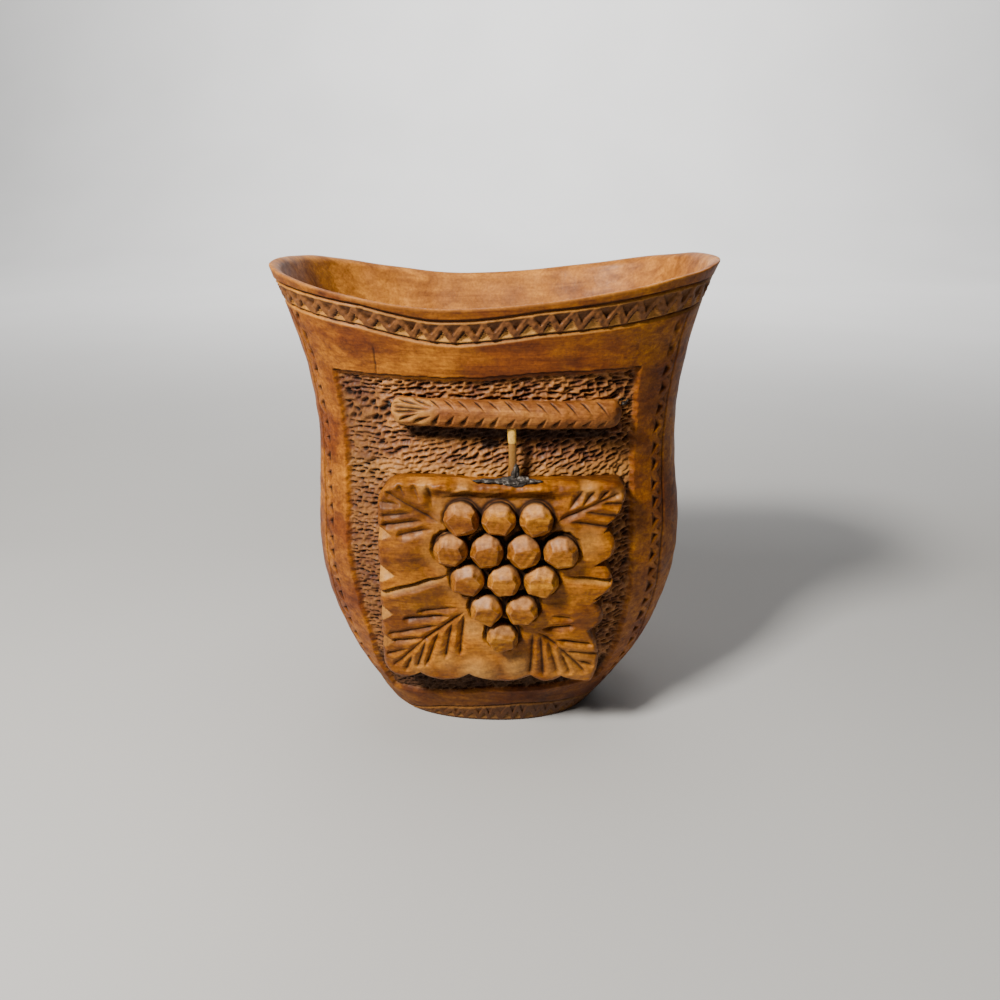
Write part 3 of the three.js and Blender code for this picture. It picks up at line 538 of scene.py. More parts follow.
class BodyCarving(Surface):
    """What is cut into the outside of the body, and its stained ground and bands."""

    def __init__(self, angle, heights, rim):
        base = outside(np.repeat(angle[None], len(heights), 0), heights)
        super().__init__(heights.shape)
        self.x, self.y, self.z = base[..., 0], base[..., 1], heights
        step = np.hypot(self.x - np.roll(self.x, 1, 1), self.y - np.roll(self.y, 1, 1))
        s = np.cumsum(step, 1)
        centre = int(np.argmin(np.abs(angle + np.pi / 2)))
        self.s = s - s[:, centre][:, None]
        self.girth = step.sum(1)[:, None]
        self.front = self.y < 0
        self.drop = rim[None] - heights
        self.ground, self.band = np.zeros((2, *heights.shape))

    def place_of(self, across, back=False):
        """Distance along the section, row by row, at a share of the half width."""
        height = self.z[:, 0]
        target = middle(height) + across * half_width(height)
        found = np.empty(len(height))
        for row in range(len(height)):
            columns = np.where(self.front[row] != back)[0]
            order = columns[np.argsort(self.x[row, columns])]
            found[row] = np.interp(target[row], self.x[row, order], self.s[row, order])
        return found[:, None]

    def panel(self):
        """The sunk panel, with its punched dents."""
        x, s, z = self.x, self.s, self.z
        left = self.place_of(-table(z[:, 0], PANEL_LEFT))
        right = self.place_of(table(z[:, 0], PANEL_RIGHT))
        wobble = 0.14 * np.sin(z * 1.1) + 0.1 * np.sin(z * 2.7 + 1)
        in_side = np.minimum(s - left, right - s) + wobble
        in_top = PANEL_TOP + table(x, PANEL_TOP_EDGE) - z
        in_bottom = z - PANEL_BOTTOM - table(x, PANEL_BOTTOM_EDGE)
        in_top = in_top + 0.08 * np.sin(x * 0.7) + 0.06 * np.sin(x * 1.9)
        inside = self.front & (in_side > 0) & (in_top > 0) & (in_bottom > 0)
        depth = np.minimum(np.minimum(table(in_top, TOP_CUT), table(in_side, SIDE_CUT)),
                           table(in_bottom, BOTTOM_CUT)) * inside
        ground = np.minimum(np.minimum((in_top - 1.0) / 0.5, (in_side - 0.25) / 0.3),
                            (in_bottom - 1.0) / 0.5)
        ground = share(ground) * inside
        pits = panel_pits(x, s, z)
        shallow = 1 - 0.4 * bump((z - PLAQUE_TOP - 1) / 4) * (x > -30)
        rough = 0.07 * waves(s, z, 1.5, 21) + 0.12 * waves(s, z, 6, 22)
        # the dents' hollows are darkened by their depth: painted shade
        self.cut(depth + ground * (PIT_DEPTH * pits * shallow - 0.2 + rough),
                 ground * (pits * shallow - 0.31) * PIT_SHADE)
        # the ridges between the dents are made paler: painted highlight, with some wear
        self.wear_and_highlight(0.2 * ground * share((0.3 - pits) / 0.25))
        # a dark line just inside the top edge: painted shadow under the smooth band's edge
        self.stain_and_shade(share(1.2 - np.abs(in_top - 0.3) / 0.34) * (in_side > 0) * self.front)
        self.ground = ground

    def panel_glue_and_shadows(self):
        """Glue and a painted shadow under the branch, glue left of the stem, stain at the panel's
        left, and painted shade with glue at the panel's foot.
        """
        x, z = self.x, self.z
        # a dark strip on the ground under the branch: painted shadow, with glue
        under_branch = BRANCH_HEIGHT - BRANCH_RADIUS - 2.2 - z
        below = share((x - BRANCH_LEFT - 1) / 3) * share((BRANCH_RIGHT - 1 - x) / 2)
        self.stain_and_shade(share(1.8 - np.abs(under_branch) / 1.2) * below * 0.93 * self.ground)
        smear_x, smear_z, half_x, half_z = GLUE_SMEAR
        smear = np.hypot((x - smear_x) / half_x, (z - smear_z) / half_z)
        ragged = 0.8 + 0.3 * waves(x, z, 1.6, 23)
        self.stain_and_shade(4.0 * bump(smear) * ragged * self.front)
        self.stain_and_shade(0.4 * share((-27 - x) / 6) * self.ground)
        # the ground below the plaque's bottom is darkened: painted shade, with glue
        self.stain_and_shade(0.88 * share((PLAQUE_BOTTOM + 4 - z) / 3) * self.ground)
        self.wear_and_highlight(0.45 * bump((z - PLAQUE_TOP) / 5) * self.ground)

    def rim_border(self, along):
        """Two rows of chips between two grooves, right round below the lip."""
        front = ease(-self.y / 14)
        upper = mix(RIM_BAND_DROP, table(self.x, UPPER_GROOVE), front)
        lower = mix(RIM_BAND_DROP + RIM_BAND_WIDTH, table(self.x, LOWER_GROOVE), front)
        along = along[None] + 0.05 * np.sin(along * 1.9) + 0.04 * np.sin(along * 4.1 + 1)
        field = (lower - self.drop) / (lower - upper - GROOVE_WIDTH)
        low, high = chips(along, field, LOWER_CHIP_REACH, UPPER_CHIP_REACH)
        inside = (field > -0.01) & (field < 1.01)
        uneven = 1 + 0.2 * np.sin(along * 2.4 + 0.5) * np.sin(along * 0.37)
        low, high = low * inside * uneven, high * inside * uneven
        # a dark edge just above each lower chip, and black at its tip: painted shadow
        halo = chips(along + 0.05, field, LOWER_CHIP_REACH + 0.13, UPPER_CHIP_REACH)[0]
        shaded = (halo > 0) * (low < 0.02) * share((field - 0.12) / 0.1) * inside
        self.cut(1.4 * low + 0.5 * shaded, np.maximum((low - 0.72) * 7, 0.85 * shaded))
        # the upper chips are darkened: painted shade on their down-facing floors
        self.cut(1.1 * high, 0.34 * (high > 0.05) + 0.42 * high ** 2)
        # the lower chips' floors are made paler: painted light on up-facing floors, with bare cut
        # wood
        self.wear_and_highlight((low > 0.05) * share((0.8 - low) * 6) * mix(0.4, 1, bump((self.x - 2) / 56)))
        top_line = self.drop - upper
        low_line = self.drop - lower
        # the grooves' dark lines: painted shade
        for line, dark in ((top_line, 1.15), (low_line, 1.1)):
            self.rule(line, 0.25, GROOVE_WIDTH, 0.75, dark, 0.34)
        # paler fillets below the grooves: painted highlight on their up-facing walls
        self.wear_and_highlight(0.5 * bump((top_line - 0.75) / 0.5) + 0.5 * bump((low_line - 0.65) / 0.45))
        self.band = share((top_line - 0.9) / 0.3) * share(-low_line / 0.3) * (low < 0.05)
        self.cut(0.1 * self.band * (1 + waves(self.s, self.z, 1.8, 31)))
        self.wear_and_highlight(0.25 * share(1 - self.drop / 0.7))
        self.below_rim = share((low_line - 1.2) / 0.6)

    def corner_border(self, side, back):
        """Two rows of chips down a corner, and a groove on their outer side."""
        rows, first, pitch = CORNERS[side]
        place = self.place_of(side * table(self.z[:, 0], rows), back)
        away = np.mod(self.s - place + self.girth / 2, self.girth) - self.girth / 2
        outward = away * (side if not back else -side)
        across = (outward + CORNER_HALF_WIDTH) / (2 * CORNER_HALF_WIDTH)
        wander = 0.06 * np.sin(self.z * 0.55 + side) + 0.04 * np.sin(self.z * 1.7)
        low, high = chips((self.z - first) / pitch + wander, across, CORNER_CHIP_REACH, 0.5)
        inside = (across > -0.02) & (across < 1.02)
        fade = self.below_rim * share((self.z - CORNER_BOTTOM + pitch) / 2) * inside
        # the chips are darkened: painted shade
        self.cut((0.95 * low + 0.5 * high) * fade, np.maximum(1.5 * low, 0.7 * high) * fade)
        line = outward - CORNER_HALF_WIDTH - 0.5
        fade = self.below_rim * share((self.z - 8) / 4)
        # the groove's dark line: painted shade
        self.rule(-line, 0.4, 0.5, 0.45, 0.9, 0.5, fade)

    def foot_border(self):
        """A groove and two rows of small chips round the foot, and the darkening that lies there:
        painted shade, with some stain.
        """
        foot = mix(FOOT_GROOVE_BACK, table(self.x, FOOT_GROOVE), ease(-self.y / 8))
        line = foot - self.z
        field = (self.z - 0.9) / np.maximum(foot - 1.6, 0.5)
        along = (self.s + 1.0) / FOOT_CHIP_PITCH + 0.1 * np.sin(self.s * 0.7)
        low, high = chips(along, field, LOWER_CHIP_REACH, UPPER_CHIP_REACH)
        fade = share((foot - 2.5) / 2) * (field > 0) * (field < 1)
        fade = fade * share(0.85 + 0.3 * waves(self.s, self.z, 9, 33))
        # the groove's dark line: painted shade; the paler fillet below it: painted highlight
        self.rule(line, 0.3, GROOVE_WIDTH, 0.7, 1.25, 0.36)
        self.wear_and_highlight(0.5 * bump((line - 0.8) / 0.6))
        # the chips are darkened: painted shade
        self.cut((1.2 * low + 1.1 * high) * fade,
                 (0.5 * low + 0.4 * (high > 0.05) + 0.5 * high) * fade)
        # the lower chips' floors are made paler: painted light on up-facing floors
        self.wear_and_highlight(0.5 * (low > 0.05) * share((0.7 - low) * 6) * fade)
        self.band = np.maximum(self.band, share((line - 0.9) / 0.4))
        # the front darkens towards the foot: painted shade, with some stain
        self.stain_and_shade(0.55 * share((19 - self.z) / 9) * self.front)

    def crack(self):
        line = np.abs(self.x - CRACK_PLACE + 0.05 * np.sin(self.z * 2))
        tall = share((self.z - CRACK_BOTTOM) / 1) * share((CRACK_TOP - self.z) / 2) * self.front
        self.cut(0.2 * share(1 - line / 0.3) * tall, 0.95 * share(1 - line / 0.36) * tall)

    def hand_wobble(self):
        """The slight unevenness of a surface cut by hand."""
        calm = share(self.z / 3) * share((self.drop - 0.5) / 2)
        swell = 0.16 * waves(self.s, self.z, 26, 41) + 0.05 * waves(self.s, self.z, 7, 42)
        return swell * calm


def panel_pits(x, s, z):
    """Depth of the gouged dents, in rows that slant up to the right and meet in sharp ridges."""
    places = np.linspace(-60, 60, 241)
    slopes = mix(0.08, 0.27, ease((places + 34) / 30))
    climb = np.concatenate([[0], np.cumsum((slopes[1:] + slopes[:-1]) / 2 * np.diff(places))])
    climb = climb - np.interp(0, places, climb)
    slant = mix(1, 0.4, share((z - BRANCH_HEIGHT + BRANCH_RADIUS) / (2 * BRANCH_RADIUS)))
    finer = 0.22 * np.maximum(z - BRANCH_HEIGHT, 0)
    level = (z + finer - slant * np.interp(x, places, climb) + 0.25 * waves(s, z, 10, 12)) / PIT_ROW
    size = 256
    jitter = np.random.default_rng(11).uniform(-1, 1, (6, size, size))
    depth = np.zeros_like(x)
    for row_step in (-1, 0, 1):
        row = np.floor(level) + row_step
        shifted = s / PIT_PITCH + 0.5 * np.mod(row, 2)
        for side_step in (-1, 0, 1):
            cell = np.floor(shifted) + side_step
            i = np.mod(row, size).astype(int)
            j = np.mod(cell, size).astype(int)
            away = (shifted - cell - 0.5 - 0.34 * jitter[0, i, j]) * PIT_PITCH
            up = (level - row - 0.5 - 0.3 * jitter[1, i, j]) * PIT_ROW
            turn = 0.3 * jitter[2, i, j] + 0.12
            a = (away * np.cos(turn) + up * np.sin(turn)) / (1.3 + 0.35 * jitter[3, i, j])
            b = (up * np.cos(turn) - away * np.sin(turn)) / (0.92 + 0.15 * jitter[4, i, j])
            # a gentle floor that falls inward from below, and a steep wall above it
            fall = share(np.minimum((1 + b) / 1.45, (1 - b) / 0.55))
            scoop = fall * share(1 - a * a) ** 0.6
            depth = np.maximum(depth, scoop * (0.8 + 0.3 * jitter[5, i, j]))
    return depth


def body_columns():
    """Angles of the mesh's columns, and the rim's chips counted from the front to each."""
    fine = np.linspace(-np.pi, np.pi, 20001)

    def arcs(height):
        ring = outside(fine, height)
        return np.concatenate([[0], np.cumsum(np.hypot(*np.diff(ring[:, :2], axis=0).T))])

    arc = arcs((BELLY_HEIGHT + WAIST_HEIGHT) / 2)
    total = arc[-1]
    front, back = total / 4, 3 * total / 4
    half_panel, half_front = 45, 53
    edges = [0, front - half_front, front - half_panel, front + half_panel, front + half_front,
             back - half_front, back - half_panel, back + half_panel, back + half_front, total]
    steps = [0.5, 0.3, 0.25, 0.3, 0.5, 0.45, 0.6, 0.45, 0.5]
    places = spread(edges, steps)[:-1]
    angle = np.interp(places, arc, fine)
    rim_arc = arcs(RIM_FRONT_HEIGHT - RIM_BAND_DROP - RIM_BAND_WIDTH / 2)
    from_front = np.interp(angle, fine, rim_arc) - np.interp(-np.pi / 2, fine, rim_arc)
    return angle, from_front / rim_arc[-1] * RIM_CHIPS


def wall_at(drop):
    return mix(LIP_WALL, BODY_WALL, ease((drop - LIP_SLOPE) / WALL_TAPER))


def inside_rings(angle, rim):
    """The lip's rounded edge, the thickening wall, the level rings below and the round floor."""
    around = angle * MOUTH_HALF_WIDTH * 0.8

    def gouges(level, seed):
        return 0.14 * waves(around, 0 * around + level, 16, seed)

    wave = 0.09 * waves(around, 0 * around, 18, 51)
    rings = [outside(angle, rim - down + wave, out) for down, out in LIP_EDGE]
    for down in spread([2.0, 8, LIP_SLOPE + WALL_TAPER], [0.8, 1.4]):
        rings.append(outside(angle, rim - down, -wall_at(down) - 0.1 + gouges(down, 61)))
    wall_end = RIM_FRONT_HEIGHT - LIP_SLOPE - WALL_TAPER
    floor_start = FLOOR_THICKNESS + FLOOR_ROUNDING
    for level in spread([wall_end, floor_start], [1.6])[1:]:
        rings.append(outside(angle, level, gouges(-level, 62) - BODY_WALL))
    for turn in np.linspace(0, np.pi / 2, 10)[1:]:
        height = floor_start - FLOOR_ROUNDING * math.sin(turn)
        inward = BODY_WALL + FLOOR_ROUNDING * (1 - math.cos(turn))
        rings.append(outside(angle, height, -inward))
    edge = rings[-1]
    centre = edge.mean(0)
    rings += [centre + (edge - centre) * part for part in (0.75, 0.5, 0.25, 0.08)]
    return np.stack(rings)


def body_heights(rim, count):
    """Heights of the mesh's points: level below, and following the rim near the top."""
    levels = spread([0.0, 0.8, 9, 116], [0.4, 0.3, 0.22])[1:]
    border_drop = 10.6
    blend = np.arange(1, 9)[:, None] / 9
    drops = spread([border_drop, 0.9], [0.2])
    return np.concatenate([
        np.repeat(levels[:, None], count, 1),
        mix(levels[-1], (rim - border_drop)[None], blend),
        rim[None] - drops[:, None],
    ])


def cup_body():
    angle, chip_count = body_columns()
    rim = rim_height(angle)
    heights = body_heights(rim, len(angle))
    carving = BodyCarving(angle, heights, rim)
    carving.panel()
    carving.panel_glue_and_shadows()
    carving.rim_border(chip_count)
    for side in (-1, 1):
        for back in (False, True):
            carving.corner_border(side, back)
    carving.foot_border()
    carving.crack()
    heel = np.stack([outside(angle, 0, -FOOT_BEVEL), outside(angle, 0.25, -0.35)])
    outer = outside(np.repeat(angle[None], len(heights), 0), heights,
                    carving.hand_wobble() - carving.depth)
    inner = inside_rings(angle, rim)
    ends = ((len(heel), len(inner)), (0, 0))
    numbers = {"inside": np.pad(0 * heights, ends, constant_values=((0, 1), (0, 0)))}
    for key in ("dark", "ground", "band", "bare_and_lit"):
        numbers[key] = np.pad(vars(carving)[key], ends)
    return ring_mesh("cup_carved", np.concatenate([heel, outer, inner]), numbers)


# The plaque


def plaque_outline(count):
    """Points round the plaque's lobed edge, evenly spaced."""
    points = []
    from_x, from_rise = PLAQUE_LOBES[-1][:2]
    for to_x, to_rise, bulge in PLAQUE_LOBES:
        pull = 2 * bulge / math.hypot(to_x - from_x, to_rise - from_rise)
        bend_x = (from_x + to_x) / 2 + (from_rise - to_rise) * pull
        bend_rise = (from_rise + to_rise) / 2 + (to_x - from_x) * pull
        t = np.linspace(0, 1, 60, endpoint=False)
        points.append(np.stack([
            (1 - t) ** 2 * from_x + 2 * t * (1 - t) * bend_x + t * t * to_x,
            (1 - t) ** 2 * from_rise + 2 * t * (1 - t) * bend_rise + t * t * to_rise,
        ], -1))
        from_x, from_rise = to_x, to_rise
    line = np.concatenate(points)
    line[:, 1] += PLAQUE_BOTTOM
    closed = np.concatenate([line, line[:1]])
    arc = np.concatenate([[0], np.cumsum(np.hypot(*np.diff(closed, axis=0).T))])
    even = np.linspace(0, arc[-1], count, endpoint=False)
    return np.stack([np.interp(even, arc, closed[:, 0]), np.interp(even, arc, closed[:, 1])], -1)


def grape_seats():
    return [
        (middle_x + (i - (count - 1) / 2) * spacing, PLAQUE_BOTTOM + rise)
        for count, middle_x, rise, spacing in GRAPE_ROWS for i in range(count)
    ]


class PlaqueCarving(Surface):
    """What is cut into the plaque's plain face; a swell is a cut below nought."""

    def __init__(self, x, z):
        super().__init__(x.shape)
        self.x, self.z = x, z
        self.rise = z - PLAQUE_BOTTOM
        self.cut(-(0.16 * waves(x, z, 9, 71) + 0.07 * waves(x, z, 3.4, 72)))
        for cx, cz, rx, rz, swell in SWELLS:
            self.cut(-swell * bump(np.hypot((x - cx) / rx, (self.rise - cz) / rz) * 0.8))

    def top_roll(self):
        """The lumpy roll along the top edge, and the hollow below it."""
        x, z = self.x, self.z
        lumps = waves(x, 0.5 * z, 6.5, 73) + 0.4 * waves(x, z, 2.6, 76)
        drop = PLAQUE_TOP - z + 0.4 * lumps
        within = share((x + 16.5) / 3) * share((20.5 - x) / 3)
        self.cut(-((0.6 + 0.4 * lumps) * bump((drop - 2.3) / 2.4) * (0.35 + 0.65 * within)))
        hollow = share((drop - 2.6) / 2.2) * share((10.5 - drop) / 5.5) * within
        # the hollow below the roll is darkened: painted shade
        self.cut(1.2 * hollow, 0.3 * bump((drop - 5.0) / 2.6) * within)
        self.cut(1.5 * share(1 - drop / 2.0) ** 2)

    def side_grooves(self):
        """The long grooves that part the side lobes."""
        for line in SIDE_GROOVES:
            along, side, length = beside(self.x, self.rise, line)
            side = side * np.sign(line[2] - line[0]) + 0.1 * np.sin(along * 0.7)
            fade = share((length - along) / 5) * share(along / 0.5 + 0.6)
            # a dark line along the steep wall: painted shade
            self.cut(groove(-side, 0.4, 2.6, 1.8) * fade,
                     share(1.15 - np.abs(side - 0.1) / 0.5) * fade)
            # the gentle lower wall is made paler: painted highlight, with some wear
            self.wear_and_highlight(0.6 * bump((side + 1.1) / 1.0) * fade)

    def leaf_veins(self):
        """Leaf veins, each cut a little differently, and the notches at the right edge."""
        rng = np.random.default_rng(74)
        veins = Surface(self.x.shape)
        for line in LEAF_VEINS:
            depth, width = rng.uniform(1.0, 1.4), rng.uniform(1.65, 2.05)
            veins.knife(self.x, self.rise, line, width, depth, 0.62, rng.uniform(0.8, 1.15),
                        fade=0.9)
        for line in RIGHT_NOTCHES:
            veins.knife(self.x, self.rise, line, 1.5, 2.2, 0.9, 1.2)
        self.cut(veins.depth, veins.dark)

    def edge_chips(self):
        """Chips at the left edge: a steep upper wall with a dark line of painted shade, and a facet
        that rises again below it, made paler with a painted highlight.
        """
        x, rise = self.x, self.rise
        for cx, cz, top, bottom, pale in LEFT_CHIPS:
            reach = share((cx - x) / (cx + 29.6))
            upper = mix(cz, top, reach)
            lower = mix(cz, bottom, reach)
            chip = share((upper - rise) / 0.25) * (rise > lower) * (x < cx)
            part = share((rise - lower) / np.maximum(upper - lower, 0.1))
            line = share(1.1 - np.abs(rise - upper + 0.1) / 0.4)
            self.cut(3.0 * chip * part * reach, line * (x < cx) * reach ** 0.4)
            self.wear_and_highlight(pale * chip * (part < 0.85))

    def grape_rings(self):
        """A ring sunk round each grape, deepest between neighbours, darkened with painted shade;
        the ground left of each grape is made paler with painted light.
        """
        rings = np.zeros_like(self.x)
        ragged = 0.22 * waves(self.x, self.z, 2.6, 75)
        for x, z in grape_seats():
            away = np.hypot(self.x - x, self.z - z)
            ring = share(1 - np.abs(away - GRAPE_RADIUS - 0.25) / (1.0 + ragged))
            sunk = np.maximum(self.depth, mix(self.depth, 1.0, ring ** 0.7))
            self.depth = np.where(ring > 0, sunk, self.depth)
            self.depth = np.where(away < GRAPE_RADIUS, np.maximum(self.depth, 0.6), self.depth)
            rings = rings + 1.1 * ring
            self.wear_and_highlight(0.2 * bump((away - GRAPE_RADIUS - 2.2) / 2.4) * (self.x < x))
        self.stain_and_shade(rings)

    def spots(self):
        for spots, mark in ((PALE_SPOTS, self.wear_and_highlight), (DARK_SPOTS, self.stain_and_shade)):
            for x, rise, radius, amount in spots:
                mark(amount * bump(np.hypot(self.x - x, self.rise - rise) / radius))


def leaf_plaque():
    """The plaque: its carved face, its wall and its back, in rings about a point inside."""
    count, rings = 760, 128
    line = plaque_outline(count)
    heart = np.array([3.0, 54.5])
    spokes = line - heart
    parts = np.linspace(0, 1, rings + 1)[1:] ** 0.88
    x, z = np.moveaxis(heart + parts[:, None, None] * spokes, -1, 0)
    reach = np.hypot(*spokes.T)
    edge = (1 - parts)[:, None] * reach[None] * 0.93
    carving = PlaqueCarving(x, z)
    carving.top_roll()
    carving.side_grooves()
    carving.leaf_veins()
    carving.edge_chips()
    carving.grape_rings()
    carving.spots()
    carving.cut(1.1 * share(1 - edge / 1.5) ** 2)
    face = np.stack([x, plaque_face(x, z) + carving.depth, z], -1)

    def on_ground(spot):
        return front_of(spot[:, 0], spot[:, 1], -PANEL_DEPTH - 0.1)

    rows = []
    for part in (0.04, 0.12, 0.3, 0.6, 1.0):
        spot = line + spokes / reach[:, None] * (0.1 - 0.2 * math.sin(part * math.pi))
        y = mix(face[-1, :, 1], on_ground(line), part)
        rows.append(np.stack([spot[:, 0], y, spot[:, 1]], -1))
    for part in (0.93, 0.75, 0.5, 0.25, 0.05):
        spot = heart + part * spokes
        rows.append(np.stack([spot[:, 0], on_ground(spot), spot[:, 1]], -1))
    # the wall is darkened, most near the plaque's bottom: painted shade under the plaque, with glue
    under = share((PLAQUE_BOTTOM + 7 - line[:, 1]) / 3)
    plain = np.ones((len(rows), count))
    shaded_and_stained = np.concatenate([carving.dark, (0.3 + 0.55 * under) * plain])
    worn = np.concatenate([carving.bare_and_lit, 0 * plain])
    return ring_mesh("plaque_carved", np.concatenate([face, np.stack(rows)])[:, ::-1],
                     {"dark": shaded_and_stained[:, ::-1], "bare_and_lit": worn[:, ::-1]})


# Grapes


def grape_axes(x, z):
    """Directions to the right and up along the plaque's face, and out of it, at a grape."""
    reach = 0.5
    across = plaque_face(x + reach, z) - plaque_face(x - reach, z)
    upward = plaque_face(x, z + reach) - plaque_face(x, z - reach)
    normal = np.array([across, -2 * reach, upward])
    normal = normal / np.linalg.norm(normal)
    right = np.array([1.0, 0.0, 0.0])
    right = right - normal * (right @ normal)
    right = right / np.linalg.norm(right)
    upward = np.cross(right, normal)
    return right, upward * np.sign(upward[2]), normal


def grape_facets(rng):
    """Planes that a whittled grape is cut to: turn from straight up, lean and distance."""
    facets = [(math.pi + rng.uniform(-0.6, 0.6), rng.uniform(0.08, 0.2), rng.uniform(3.75, 3.95))]
    facets.append((rng.uniform(-0.35, 0.35), rng.uniform(0.66, 0.8), rng.uniform(4.15, 4.35)))
    start = facets[1][0]
    count = int(rng.integers(5, 7))
    for i in range(1, count):
        turn = start + i * 2 * math.pi / count + rng.uniform(-0.16, 0.16)
        facets.append((turn, rng.uniform(0.88, 1.1), rng.uniform(4.4, 4.65)))
    return facets


def grape(index, x, z):
    """A whittled grape: a rounded peg head with a large front facet and bevels round it."""
    rng = np.random.default_rng(100 + index)
    right, upward, normal = grape_axes(x, z)
    seat = np.array([x, float(plaque_face(x, z)), z])
    sides, bands = 96, 54
    radius = GRAPE_RADIUS * rng.uniform(0.97, 1.02)
    polar = np.linspace(0, np.pi * 0.62, bands)[1:]
    p, t = np.meshgrid(polar, np.linspace(0, 2 * np.pi, sides, endpoint=False), indexing="ij")
    direction = np.stack([np.sin(p) * np.sin(t), np.sin(p) * np.cos(t), np.cos(p)], -1)
    egg = radius * (1 + 0.03 * np.cos(2 * t + rng.uniform(0, 6)) + 0.02 * np.cos(3 * t))
    far = 40.0
    limits = [np.minimum(egg / np.maximum(np.sin(p), 1e-3), far), np.full_like(p, radius * 1.24)]
    for turn, lean, distance in grape_facets(rng):
        plane = np.array([math.sin(lean) * math.sin(turn), math.sin(lean) * math.cos(turn),
                          math.cos(lean)])
        facing = direction @ plane
        limits.append(np.where(facing > 0.05, distance / np.maximum(facing, 0.05), far))
    stacked = np.stack(limits)
    nearest = stacked.min(0)
    worn = 11.0
    softened = np.log(np.exp(-worn * (stacked - nearest)).sum(0)) / worn
    across, along = direction[..., 0] * radius, direction[..., 1] * radius
    reach = nearest - softened + 0.06 * waves(across, along, 2.2, 200 + index)
    local = direction * reach[..., None]
    ragged = waves(across, along, 1.6, 230 + index)
    bare_and_lit = share(softened * worn / math.log(2) - 0.3 + 0.15 * ragged) * 0.5
    # the grape's top is made paler: painted highlight, with some worn varnish
    upper = share((direction[..., 1] - 0.3) * 2.5 + 0.3 * ragged) * 0.4
    stand = 0.35
    points = (seat + local[..., 0:1] * right + local[..., 1:2] * upward
              + (local[..., 2:3] + stand) * normal)
    tip = seat + normal * (reach[0].mean() + stand)
    # darker low on the grape near the plaque, and on the lower grapes: painted shade
    low = share((2.3 - local[..., 2]) / 2.4)
    low = np.maximum(low, 0.2 * float(share((PLAQUE_BOTTOM + 32 - z) / 12)))
    tips = (tip, points[-1].mean(0) - normal)
    numbers = {"dark": low, "bare_and_lit": np.maximum(bare_and_lit, upper)}
    return ring_mesh(f"grape_carved_{index:02d}", points, numbers, tips)


# Branch and stem


def branch_y(x):
    return front_of(x, BRANCH_HEIGHT, -PANEL_DEPTH) - BRANCH_RADIUS + BRANCH_FLAT


def branch_marks(along, v):
    """The herringbone cuts along the branch, and the leaf cut into its left end."""
    marks = Surface(v.shape)
    rng = np.random.default_rng(5)
    for i in range(HERRINGBONE_COUNT):
        tip = HERRINGBONE_START + i * HERRINGBONE_PITCH + rng.uniform(-0.3, 0.3)
        rise = mix(1.5, 0.3, i / (HERRINGBONE_COUNT - 1)) + rng.uniform(-0.25, 0.25)
        upper = (tip - 3.3, 4.9, tip, rise)
        lower = (tip - 2.6, -3.2, tip - 0.4, rise - 0.9)
        marks.knife(along, v, upper, 0.4, 0.5, 0.32, 1.5, sharp=1.2)
        marks.knife(along, v, lower, 1.0, 1.2, 0.75, 1.3, sharp=1.1)
        if i % 4 == 1:
            double = (tip - 2.6, rise + 4.1, tip - 0.2, rise + 1.4)
            marks.knife(along, v, double, 0.4, 0.3, 0.28, 0.8, sharp=1.2)
    for *line, deep in LEAF_END_CUTS:
        marks.knife(along, v, line, 1.0, deep * 1.2, 0.55, 1.1, sharp=1.2)
    return marks


def grape_branch():
    """The round branch with its herringbone cuts, ringed along X."""
    length = BRANCH_RIGHT - BRANCH_LEFT
    steps = spread([0, 3, length - 3, length], [0.12, 0.2, 0.12])
    sides = 150
    turn = np.linspace(0, 2 * np.pi, sides, endpoint=False)
    along, around = np.meshgrid(steps, turn, indexing="ij")
    from_end = np.minimum(along, length - along)
    rounding = 1 - share(from_end / BRANCH_END_ROUNDING)
    radius = BRANCH_RADIUS * np.sqrt(np.maximum(1 - 0.97 * rounding ** 2.2, 0.02))
    radius = radius * (1 + 0.015 * np.sin(along * 0.5) + 0.012 * np.sin(along * 0.23 + 1))
    # v runs up the branch's front: 0 at its foremost line, positive above
    v = BRANCH_RADIUS * (np.mod(around + np.pi, 2 * np.pi) - np.pi)
    marks = branch_marks(along, v)
    # the branch's underside is darkened: painted shade, with some glue
    marks.stain_and_shade(0.75 * share((-2.9 - v) / 1.6) * (from_end > 1.5))
    marks.wear_and_highlight(0.6 * share((13 - along) / 4) * share(0.7 + 0.5 * waves(along, v, 3, 83)) * (v < 5))
    swell = 0.07 * waves(along, v, 6, 81) + 0.04 * waves(along, v, 2, 82)
    r = radius - marks.depth * (radius / BRANCH_RADIUS) + swell
    place = BRANCH_LEFT + along
    droop = -0.4 * (2 * along / length - 1)
    rings = np.stack([
        place,
        branch_y(place) - r * np.cos(around),
        BRANCH_HEIGHT + droop + r * np.sin(around),
    ], -1)
    return ring_mesh("branch_carved", rings[:, ::-1],
                     {"dark": marks.dark[:, ::-1], "bare_and_lit": marks.bare_and_lit[:, ::-1]})


